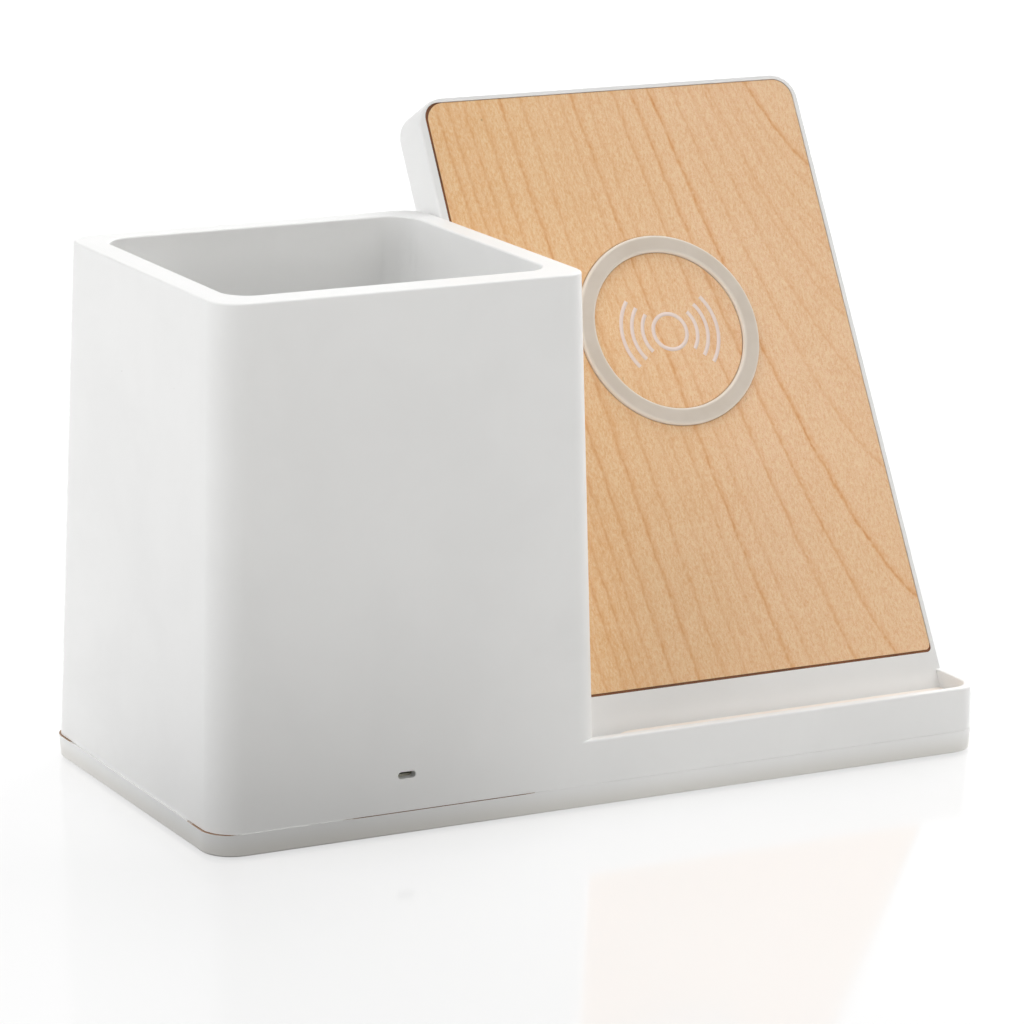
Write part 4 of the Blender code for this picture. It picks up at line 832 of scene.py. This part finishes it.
def makeHousing():
    base = toObject("baseForm", baseBlock(), uprightFrame)
    carve(base, cut(ledgeCutter()))
    wholeBase = bmesh.new()
    wholeBase.from_mesh(base.data)
    bpy.data.objects.remove(base)
    wall, small, end = body["baseWall"], body["edge"], body["footRadii"][1] - body["baseWall"]
    ledgeRoof, deckRoof = body["ledgeFloor"] - wall, body["lip"] - wall
    cupFloor = cavity["floor"] - cavity["floorThickness"]
    deckFront = stand["setback"] + stand["thickness"] / math.cos(stand["lean"]) + wall
    under = hollowCutter(body["cupLength"] - 3 * wall, body["length"] - wall, walls(ledgeRoof)[2] + wall,
                         walls(ledgeRoof)[3] - wall, ledgeRoof, (small, end, end, small))
    deck = hollowCutter(body["cupLength"] + wall, body["length"] - 2 * wall, deckFront,
                        walls(deckRoof)[3] - 2 * wall, deckRoof, (small, small, end, small))
    lead = boxMesh(ring["across"] - stand["leadWidth"] / 2, ring["across"] + stand["leadWidth"] / 2,
                   stand["recessDepth"] + 10 * slack, stand["thickness"] - stand["backWall"] - slack,
                   -stand["leadDrop"], ring["up"] - stand["cell"] / 2 + stand["rib"])
    posts, pilots, sides = [], [], bosses["sides"]
    for x, y in bosses["places"]:
        roof = cupFloor if x < body["cupLength"] else (deckRoof if y > deckFront else ledgeRoof)
        posts.append(drum(bosses["radius"], bosses["foot"], roof + slack, sides, x, y))
        pilots.append(drum(bosses["pilot"], 0.0, roof - bosses["pilotRoof"], sides, x, y))
    for x, y in bosses["posts"]:
        posts.append(drum(bosses["postRadius"], bosses["postFoot"], cupFloor + slack, sides, x, y))
        pilots.append(drum(bosses["pilot"], bosses["postFoot"] - bosses["postPilot"], cupFloor, sides, x, y))
    lampHole = slotCutter(lamp["width"], lamp["height"], lamp["x"], lamp["z"], walls(lamp["z"])[2],
                          2 * body["wall"], lamp["edge"])
    back = walls(inlet["z"])[3]
    mouth = slotCutter(inlet["width"] + 2 * inlet["gap"], inlet["height"] + 2 * inlet["gap"], lamp["x"],
                       inlet["z"], back - 3 * body["wall"], back + body["over"])
    housing = makePiece(
        "housingShell", cupBlock(), uprightFrame, "white_plastic", "housing", add(wholeBase, None),
        add(standForm(), standFrame), cut(cavityCutter()), cut(voidCutter()), cut(under), cut(deck),
        cut(recessCutter(), standFrame), cut(cellCutters(), standFrame), cut(lead, standFrame),
        add(joined(posts)), cut(joined(pilots)), cut(lampHole), cut(mouth))
    print("housing:", len(housing.data.polygons), "faces")


makeHousing()


# base tray
tray = {
    "dip": 0.00009, "dipRise": 0.001,  # how far the edge dips where the joint is open, and the slope into it
    "open": ((0.000, 0.0735, 0.0075), (0.0, 0.0062, 0.0066), (0.003, 0.001, 0.0026), (0.0465, 0.0, 0.0195),
             (0.118, 0.0784, 0.03)),  # middle and reach of each open stretch
    "flare": 0.0002, "flareRight": 0.00005, "edge": 0.00045, "edgeSteps": 6, "easing": 0.000012,
    "floor": 0.0022, "shelf": 0.0026, "tongue": 0.0012, "tongueHeight": 0.002, "spacing": 0.002,
    "screwHead": 0.0027, "screwPocket": 0.0015, "screwHole": 0.0014,
    "footPocket": 0.0053, "footDepth": 0.0011, "footInset": (0.011, 0.010),
}


def jointDip(x, y):  # how far the tray's edge lies below the closed joint here
    dip = 0.0
    for centreX, centreY, reach in tray["open"]:
        share = (reach - math.dist((x, y), (centreX, centreY))) / tray["dipRise"]
        dip = max(dip, tray["dip"] * min(1.0, max(0.0, share)))
    return dip


def pairedRuns(points, guide, spacing):  # adds points along straight runs, as the guide ring needs
    result = []
    for k in range(len(points)):
        after = (k + 1) % len(points)
        gap = math.dist(guide[k], guide[after])
        steps = max(1, round(gap / spacing)) if gap > spacing * 1.5 else 1
        for step in range(steps):
            result.append(tuple(a + (b - a) * (step / steps) for a, b in zip(points[k], points[after])))
    return result


def makeTray():
    outer = (0.0, 0.0, body["length"] - tray["flareRight"], tray["flare"], body["depth"] - tray["flare"])
    levels = [inset(outer, rise, amount) for rise, amount in openingRound(tray["edge"], tray["edgeSteps"])]
    rim = len(levels)
    high, tongueTop = body["parting"] - body["joint"], body["parting"] + tray["tongueHeight"]
    easing = tray["easing"]
    top = (high, -trayStep, body["length"], 0.0, body["depth"])
    shelf = inset(top, high, tray["shelf"])
    inner = inset(shelf, high, tray["tongue"])
    levels += [(high - easing, *top[1:]), inset(top, high, easing), shelf, (tongueTop, *shelf[1:]),
               (tongueTop, *inner[1:]), (tray["floor"], *inner[1:])]
    radii, steps, spacing = body["footRadii"], body["cornerSteps"], tray["spacing"]
    guide = roundedRing(*top[1:], radii, steps)
    guideRuns = pairedRuns(guide, guide, spacing)
    rings = []
    for number, level in enumerate(levels):
        points = pairedRuns(roundedRing(*level[1:], radii, steps), guide, spacing)
        rings.append([(x, y, level[0] - (jointDip(*above) if rim <= number <= rim + 2 else 0.0))
                      for (x, y), above in zip(points, guideRuns)])
    item = toObject("trayShell", loft(rings), uprightFrame)
    fx, fy = tray["footInset"]
    feet = [(x, y) for x in (fx, body["length"] - fx) for y in (fy, body["depth"] - fy)]

    def pits(places, radius, high, sides):
        return [drum(radius, -body["over"], high, sides, x, y) for x, y in places]

    holes = pits(bosses["places"], tray["screwHole"], tray["floor"] + body["over"], 32)
    pockets = (pits(bosses["places"], tray["screwHead"], tray["screwPocket"], 48)
               + pits(feet, tray["footPocket"], tray["footDepth"], 64))
    carve(item, cut(joined(holes)), cut(joined(pockets)))
    shade(item)
    # the joint attribute marks the landing faces in the open stretches of the joint, which get painted shade
    joint = item.data.attributes.new("joint", "FLOAT", "FACE")
    for face in item.data.polygons:
        x, y, z = face.center - origin
        landing = face.normal.z > 0.6 and abs(z - body["parting"]) < 2 * tray["dip"]
        joint.data[face.index].value = jointDip(x, y) / tray["dip"] if landing else 0.0
    finishPiece(item, "white_plastic", "base_tray", finish="tray_white")


makeTray()


# wood panel, with the groove that the ring sits in
woodOutline = (0.0, recess[1] + panel["gapLeft"], recess[2] - panel["gapRight"], recess[3] + panel["gapBottom"],
               recess[4] - panel["gapTop"])


def makePanel():
    drop = panel["drop"]
    levels = [inset(woodOutline, drop + rise, amount) for rise, amount in openingRound(panel["edge"])]
    levels.append(inset(woodOutline, drop + panel["thickness"], 0.0))
    outer, inner = ring["outer"] + ring["gap"], ring["inner"] - ring["gap"]
    low, high = -ring["sunk"] - slack, ring["proud"]
    groove = spun([(outer, low), (outer, high), (inner, high), (inner, low)], ring["steps"])
    item = makePiece("woodFace", standBlock(levels, panel["radii"]), standFrame, "maple", "wood_panel",
                     cut(groove, ringFrame(drop)))
    front = standFrame.to_3x3() @ Vector((0, -1, 0))
    burn = item.data.attributes.new("burn", "FLOAT", "FACE")
    for face in item.data.polygons:
        burn.data[face.index].value = 1.0 if face.normal.dot(front) < 0.6 else 0.0


def makeGlue():  # a bed behind the wood and a bead in the gap round it
    bead, side = panel["beadDrop"], panel["beadGap"]
    rim = standBlock([inset(recess, bead, side), inset(recess, stand["recessDepth"] - side, side)],
                     stand["recessRadii"])
    back = panel["drop"] + panel["thickness"] + side
    middle = standBlock([inset(woodOutline, -bead, -side), inset(woodOutline, back, -side)], panel["radii"])
    makePiece("glueBed", rim, standFrame, "adhesive", "panel_adhesive", cut(middle, standFrame))


makePanel()
makeGlue()
print("tray and panel made")


# Geometry Nodes: a tree gets its named inputs from the piece's values, and runs with them
class Growth(Group):
    def __init__(self, name, finish, values):
        self.values = {**values, "Finish": materials[finish]}
        super().__init__(name, self.values, ("Geometry",), "Geometry")

    def grow(self, kind, settings=None, **inputs):
        return self.add("GeometryNode" + kind, settings, **inputs).outputs[0]

    def vector(self, x, y, z):
        return self.add("ShaderNodeCombineXYZ", {}, i0=x, i1=y, i2=z).outputs[0]

    def join(self, parts):
        node = self.add("GeometryNodeJoinGeometry")
        for part in parts:
            self.tree.links.new(part, node.inputs[0])
        return node.outputs[0]

    def piece(self, name, geometry, place=None):  # ends the tree, runs it and keeps its plain mesh
        real = self.grow("RealizeInstances", i0=geometry)
        self["Geometry"] = self.grow("SetMaterial", Geometry=real, Material=self["Finish"])
        item = link(name, bpy.data.meshes.new(name))
        modifier = item.modifiers.new("grow", "NODES")
        modifier.node_group = self.tree
        for socket in self.tree.interface.items_tree:
            if socket.in_out == "INPUT":
                modifier[socket.identifier] = self.values[socket.name]
        bake(item)
        mesh = bmesh.new()
        mesh.from_mesh(item.data)
        bmesh.ops.remove_doubles(mesh, verts=mesh.verts, dist=1e-7)
        if place is not None:
            mesh.transform(place)
        bmesh.ops.recalc_face_normals(mesh, faces=mesh.faces)
        mesh.to_mesh(item.data)
        mesh.free()
        return item


# raised ring: a rounded bar swept round a circle
def makeRing():
    t = Growth("sweptRing", "grey_silicone", {
        "Radius": ring["middle"], "Width": ring["width"], "Height": ring["proud"] + ring["sunk"],
        "Edge": ring["edge"], "Steps": ring["steps"],
    })
    path = t.grow("CurvePrimitiveCircle", Resolution=t["Steps"], Radius=t["Radius"])
    bar = t.grow("CurvePrimitiveQuadrilateral", Width=t["Width"], Height=t["Height"])
    bar = t.grow("FilletCurve", {"mode": "POLY"}, Curve=bar, Radius=t["Edge"], Count=ring["edgeSteps"])
    swept = t.grow("CurveToMesh", Curve=path, Profile_Curve=bar)
    swept = t.grow("SetShadeSmooth", Geometry=swept, Shade_Smooth=True)
    item = t.piece("gripRing", swept, ringFrame(panel["drop"] - (ring["proud"] - ring["sunk"]) / 2))
    shade(item, 40)
    finishPiece(item, "grey_silicone", "silicone_ring")


# printed charging symbol: a ring and three arcs on each side of it
symbol = {"side": 0.0002, "down": 0.00027, "turn": math.radians(-1.3), "circle": 0.00372, "stroke": 0.00080,
          "first": 0.0061, "spacing": 0.00233, "arcs": 3, "reach": math.radians(39.5), "thickness": 0.00003}


def makeSymbol():
    names = ("circle", "stroke", "first", "spacing", "reach", "thickness")
    t = Growth("chargeSymbol", "print", {name.title(): symbol[name] for name in names})
    nib = t.grow("CurvePrimitiveQuadrilateral", Width=t["Stroke"], Height=t["Thickness"])
    paths = [t.grow("CurvePrimitiveCircle", Resolution=96, Radius=t["Circle"])]
    sweep = t.times(t["Reach"], 2.0)
    for number in range(symbol["arcs"]):
        radius = t.plus(t["First"], t.times(t["Spacing"], float(number)))
        for side in (0.0, math.pi):
            paths.append(t.grow("CurveArc", {"mode": "RADIUS"}, Resolution=40, Radius=radius,
                                Start_Angle=t.minus(side, t["Reach"]), Sweep_Angle=sweep))
    strokes = t.join([t.grow("CurveToMesh", Curve=path, Profile_Curve=nib, Fill_Caps=True) for path in paths])
    shift = Matrix.Translation((symbol["side"], -symbol["down"], 0)) @ Matrix.Rotation(symbol["turn"], 4, "Z")
    item = t.piece("chargeSymbol", strokes, ringFrame(panel["drop"] - symbol["thickness"] / 2) @ shift)
    finishPiece(item, "cream_silicone", finish="print")


makeRing()
makeSymbol()


# charging coil: a twisted bundle of strands wound in a flat spiral
coil = {"inner": 0.009522, "outer": 0.0207, "turns": 7.0, "wire": 0.0011, "depth": 0.0038, "strands": 9,
        "groove": 0.88, "soften": 0.00003, "twist": 0.16, "steps": 56}


def makeCoil():
    t = Growth("woundCoil", "coil_copper", {name.title(): coil[name] for name in coil if name != "depth"})
    path = t.grow("CurveSpiral", Resolution=t["Steps"], Rotations=t["Turns"], Start_Radius=t["Inner"],
                  End_Radius=t["Outer"], Height=0.0)
    path = t.grow("SetCurveTilt", Curve=path, Tilt=t.times(t.grow("InputIndex"), t["Twist"]))
    radius = t.times(t["Wire"], 0.5)
    bundle = t.grow("CurveStar", Points=t["Strands"], Outer_Radius=radius,
                    Inner_Radius=t.times(radius, t["Groove"]))
    bundle = t.grow("FilletCurve", {"mode": "POLY"}, Curve=bundle, Radius=t["Soften"], Count=2)
    swept = t.grow("CurveToMesh", Curve=path, Profile_Curve=bundle, Fill_Caps=True)
    swept = t.grow("SetShadeSmooth", Geometry=swept, Shade_Smooth=True)
    item = t.piece("woundCoil", swept, ringFrame(coil["depth"]) @ Matrix.Rotation(-math.pi / 2, 4, "Z"))
    finishPiece(item, "coil_copper", "charging_coil")


makeCoil()
print("ring, symbol and coil made")


# pad on the ledge
def makePad():
    low, edge = body["ledgeFloor"] + ledge["padLift"], ledge["padEdge"]
    high = low + ledge["padThickness"]
    front = walls(body["ledgeFloor"])[2] + ledge["frontWall"] + ledge["padGap"]
    back = stand["setback"] - (body["lip"] - low) * math.tan(stand["lean"]) - ledge["padGap"]
    base = (low, ledge["padStart"], body["length"] - ledge["sideWall"] - ledge["padGap"], front, back)
    levels = [base] + [inset(base, high - edge + rise, amount) for rise, amount in closingRound(edge)]
    radii = (ledge["padEnd"], ledge["corner"], ledge["padSmall"], ledge["padEnd"])
    makePiece("ledgeStrip", uprightBlock(levels, radii), uprightFrame, "cream_silicone", "ledge_pad")


makePad()


# light guide: a low step behind the slot and a higher block further back
guide = {"width": 0.0044, "front": 0.00185, "step": 0.0110, "setBack": 0.0014, "low": 0.01006, "high": 0.01246,
         "end": 0.0085, "leg": 0.0009, "foot": 0.0085, "edge": 0.00008}


def makeGuide():
    front, end, edge = walls(lamp["z"])[2] + guide["front"], guide["end"], guide["edge"]
    sides = (lamp["x"] - guide["width"] / 2, lamp["x"] + guide["width"] / 2)
    item = toObject("lightPipe", boxMesh(*sides, front, end, guide["low"], guide["step"]), uprightFrame)
    carve(item, add(boxMesh(*sides, front + guide["setBack"], end, guide["step"] - edge, guide["high"])),
          add(boxMesh(*sides, end - guide["leg"], end, guide["foot"], guide["low"] + edge)))
    modifier = item.modifiers.new("ease", "BEVEL")
    modifier.width = edge
    modifier.segments = 2
    bake(item)
    shade(item)
    finishPiece(item, "clear_plastic", "light_guide")


makeGuide()


# feet and tray screws: one shape of each, set on the corners of a grid
foot = {"radius": 0.005, "thickness": 0.0014, "proud": 0.0004, "edge": 0.0002, "flat": 0.0042, "steps": 64}
screw = {
    "head": 0.0024, "height": 0.0012, "sink": 0.0002, "shank": 0.0008, "length": 0.0055, "taper": 0.85,
    "dome": ((0.45, 0.00003), (0.8, 0.00018), (1.0, 0.0005)),  # share of the head's radius, and height there
    "drive": 0.0011, "driveWidth": 0.0004, "driveDepth": 0.0006, "steps": 40,
}


def makeFootShape():
    low, high, edge, radius = -foot["proud"], foot["thickness"] - foot["proud"], foot["edge"], foot["radius"]
    profile = [(0.0, low), (foot["flat"], low)]
    profile += [(radius - amount, low + rise) for rise, amount in openingRound(edge)]
    return toObject("footShape", spun(profile + [(radius, high), (0.0, high)], foot["steps"]))


def makeScrewShape():
    sink, shank, base = screw["sink"], screw["shank"], screw["sink"] + screw["height"]
    profile = [(0.0, sink)] + [(screw["head"] * share, sink + rise) for share, rise in screw["dome"]]
    profile += [(screw["head"], base), (shank, base), (shank, base + screw["length"] * screw["taper"]),
                (0.0, base + screw["length"])]
    shape = toObject("screwShape", spun(profile, screw["steps"]))
    arm, half = screw["drive"], screw["driveWidth"] / 2
    for x, y in ((arm, half), (half, arm)):
        carve(shape, cut(boxMesh(-x, x, -y, y, -10 * slack, sink + screw["driveDepth"]), None))
    return shape


def makeCorners(name, shape, places, slot, nodeName):  # places are two opposite corners
    (x0, y0), (x1, y1) = places
    t = Growth("cornerSet", slot, {"Shape": shape, "Length": x1 - x0, "Depth": y1 - y0,
                                   "Centre": at((x0 + x1) / 2, (y0 + y1) / 2, 0.0)})
    grid = t.grow("MeshGrid", Size_X=t["Length"], Size_Y=t["Depth"], Vertices_X=2, Vertices_Y=2)
    grid = t.grow("Transform", Geometry=grid, Translation=t["Centre"])
    copied = t.add("GeometryNodeObjectInfo", {"transform_space": "ORIGINAL"}, Object=t["Shape"])
    item = t.piece(name, t.grow("InstanceOnPoints", Points=grid, Instance=copied.outputs["Geometry"]))
    bpy.data.objects.remove(shape)
    shade(item)
    finishPiece(item, slot, *[node for node in cadNodes if node.startswith(nodeName)])


insetX, insetY = tray["footInset"]
makeCorners("rubberFeet", makeFootShape(),
            ((insetX, insetY), (body["length"] - insetX, body["depth"] - insetY)), "rubber", "rubber_foot")
makeCorners("trayScrews", makeScrewShape(), (bosses["places"][0], bosses["places"][3]), "steel", "tray_screw")
print("pad, feet and screws made")


# power inlet at the back: folded shell, tongue and its two rows of contacts
contacts = {
    "count": 12, "pitch": 0.0005, "width": 0.00025, "length": 0.0032, "thickness": 0.00006,
    "middle": 0.0017, "plug": 0.0015,
    "tongueWidth": 0.0067, "tongueHeight": 0.0007, "tongueLength": 0.0039, "tongueEdge": 0.00008,
}


def makeContacts(start):
    values = {name.title(): contacts[name] for name in ("count", "pitch", "width", "length", "thickness")}
    t = Growth("contactRow", "coil_copper", {**values, "Start": start, "Row Gap": contacts["tongueHeight"]})
    bar = t.grow("MeshCube", Size=t.vector(t["Width"], t["Length"], t["Thickness"]))
    rows = []
    for side in (-0.5, 0.5):
        lift = t.vector(0.0, 0.0, t.times(t["Row Gap"], side))
        line = t.grow("MeshLine", {"mode": "OFFSET", "count_mode": "TOTAL"}, Count=t["Count"],
                      Start_Location=t.vectorMath("ADD", t["Start"], lift),
                      Offset=t.vector(t["Pitch"], 0.0, 0.0))
        rows.append(t.grow("InstanceOnPoints", Points=line, Instance=bar))
    finishPiece(t.piece("inletContacts", t.join(rows)), "coil_copper")


def makeInlet():
    back = walls(inlet["z"])[3] - inlet["sink"]
    front = back - inlet["depth"]
    x, z, wall, plug = lamp["x"], inlet["z"], inlet["wall"], contacts["plug"]
    width, height = inlet["width"] - 2 * wall, inlet["height"] - 2 * wall
    shell = slotCutter(inlet["width"], inlet["height"], x, z, front, back)
    bore = slotCutter(width, height, x, z, front + wall, back + body["over"])
    makePiece("inletShell", shell, uprightFrame, "steel", "inlet_shell", cut(bore))
    front += wall + slack
    core = slotCutter(width - 2 * slack, height - 2 * slack, x, z, front, front + plug)
    halfWidth, halfHeight = contacts["tongueWidth"] / 2, contacts["tongueHeight"] / 2
    blade = boxMesh(x - halfWidth, x + halfWidth, front + plug / 2, front + plug + contacts["tongueLength"],
                    z - halfHeight, z + halfHeight)
    bmesh.ops.bevel(blade, geom=blade.edges[:], offset=contacts["tongueEdge"], segments=2, affect="EDGES")
    makePiece("inletTongue", core, uprightFrame, "black_plastic", "inlet_tongue", add(blade))
    makeContacts(at(x - contacts["pitch"] * (contacts["count"] - 1) / 2, front + plug + contacts["middle"], z))


makeInlet()
print("inlet made")


# floor and light
studio = {
    "floorSize": 6.0,
    "floorBounce": (0.06, 0.8),  # share of light thrown back on the object, on the dark patch and far off
    "darkPatch": ((0.004, -0.012), 0.015, 0.10),  # place, and where the bounce starts and ends to rise
    "floorShown": 0.22, "floorRough": 0.09, "floorGloss": 1.42, "floorLift": 0.65,
    "worldLevel": 0.0, "worldSeen": 1.0,
    "aim": (0.0, 0.0, 0.05),
    "lights": {  # place, size, power
        "leftBox": ((-1.5, 0.0, 0.55), (1.0, 1.0), 2.4),
        "backLeftBox": ((-1.3, 0.85, 0.6), (1.0, 1.0), 6.8),
        "frontBox": ((0.3, -1.68, 0.6), (1.2, 0.8), 11.1),
        "rightBox": ((1.5, 0.0, 0.55), (1.0, 1.0), 3.2),
        "backRightBox": ((1.3, 0.85, 0.6), (1.0, 1.0), 12.0),
        "topRightBox": ((0.7, 0.3, 1.3), (0.8, 0.8), 9.2),
        "topLeftBox": ((-1.0, -0.1, 1.3), (1.0, 1.0), 11.3),
        "backHighBox": ((0.5, 1.2, 1.3), (1.0, 1.0), 2.2),
    },
    "aims": {"topLeftBox": (0.0, 0.0, 0.0)},  # where a lamp differs from the rest
    "tints": {"frontBox": (1.0, 0.991, 0.97)},
}


def makeFloor():
    mesh = bmesh.new()
    bmesh.ops.create_grid(mesh, x_segments=8, y_segments=8, size=studio["floorSize"] / 2)
    floor = toObject("studioFloor", mesh)
    s = Finish("floor")
    s.shader.inputs["Roughness"].default_value = studio["floorRough"]
    s.shader.inputs["IOR"].default_value = studio["floorGloss"]
    camera, seen = s.seen()
    (x, y), near, far = studio["darkPatch"]
    away = s.vectorMath("DISTANCE", s.place, at(x, y, -origin.z))
    shown = s.line(camera, 0.0, 1.0, s.ramp(away, near, far, *studio["floorBounce"]), studio["floorShown"])
    grey = s.add("ShaderNodeCombineColor", {}, i0=shown, i1=shown, i2=shown).outputs[0]
    s.feed(s.shader.inputs["Base Color"], grey)
    lift = s.add("ShaderNodeEmission", {}, Color=(1, 1, 1, 1), Strength=s.times(seen, studio["floorLift"]))
    both = s.add("ShaderNodeAddShader", {}, i0=s.shader.outputs[0], i1=lift.outputs[0])
    s.feed(s.tree.nodes["Material Output"].inputs["Surface"], both.outputs[0])
    setFinish(floor, s.material)


def makeLights():
    for name, (place, size, power) in studio["lights"].items():
        data = bpy.data.lights.new(name, "AREA")
        data.shape = "RECTANGLE"
        data.size, data.size_y = size
        data.energy = power
        data.color = studio["tints"].get(name, (1.0, 1.0, 1.0))
        item = link(name, data)
        item.location = place
        aim = Vector(studio["aims"].get(name, studio["aim"])) - Vector(place)
        item.rotation_euler = aim.to_track_quat("-Z", "Y").to_euler()


def makeWorld():
    scene.world = bpy.data.worlds.new("studioWorld")
    scene.world.use_nodes = True
    s = Nodes(scene.world.node_tree)
    background = s.tree.nodes["Background"]
    background.inputs["Color"].default_value = (1, 1, 1, 1)
    level = s.line(s.seen()[1], 0.0, 1.0, studio["worldLevel"], studio["worldSeen"])
    s.feed(background.inputs["Strength"], level)


makeFloor()
makeLights()
makeWorld()
print("studio made")
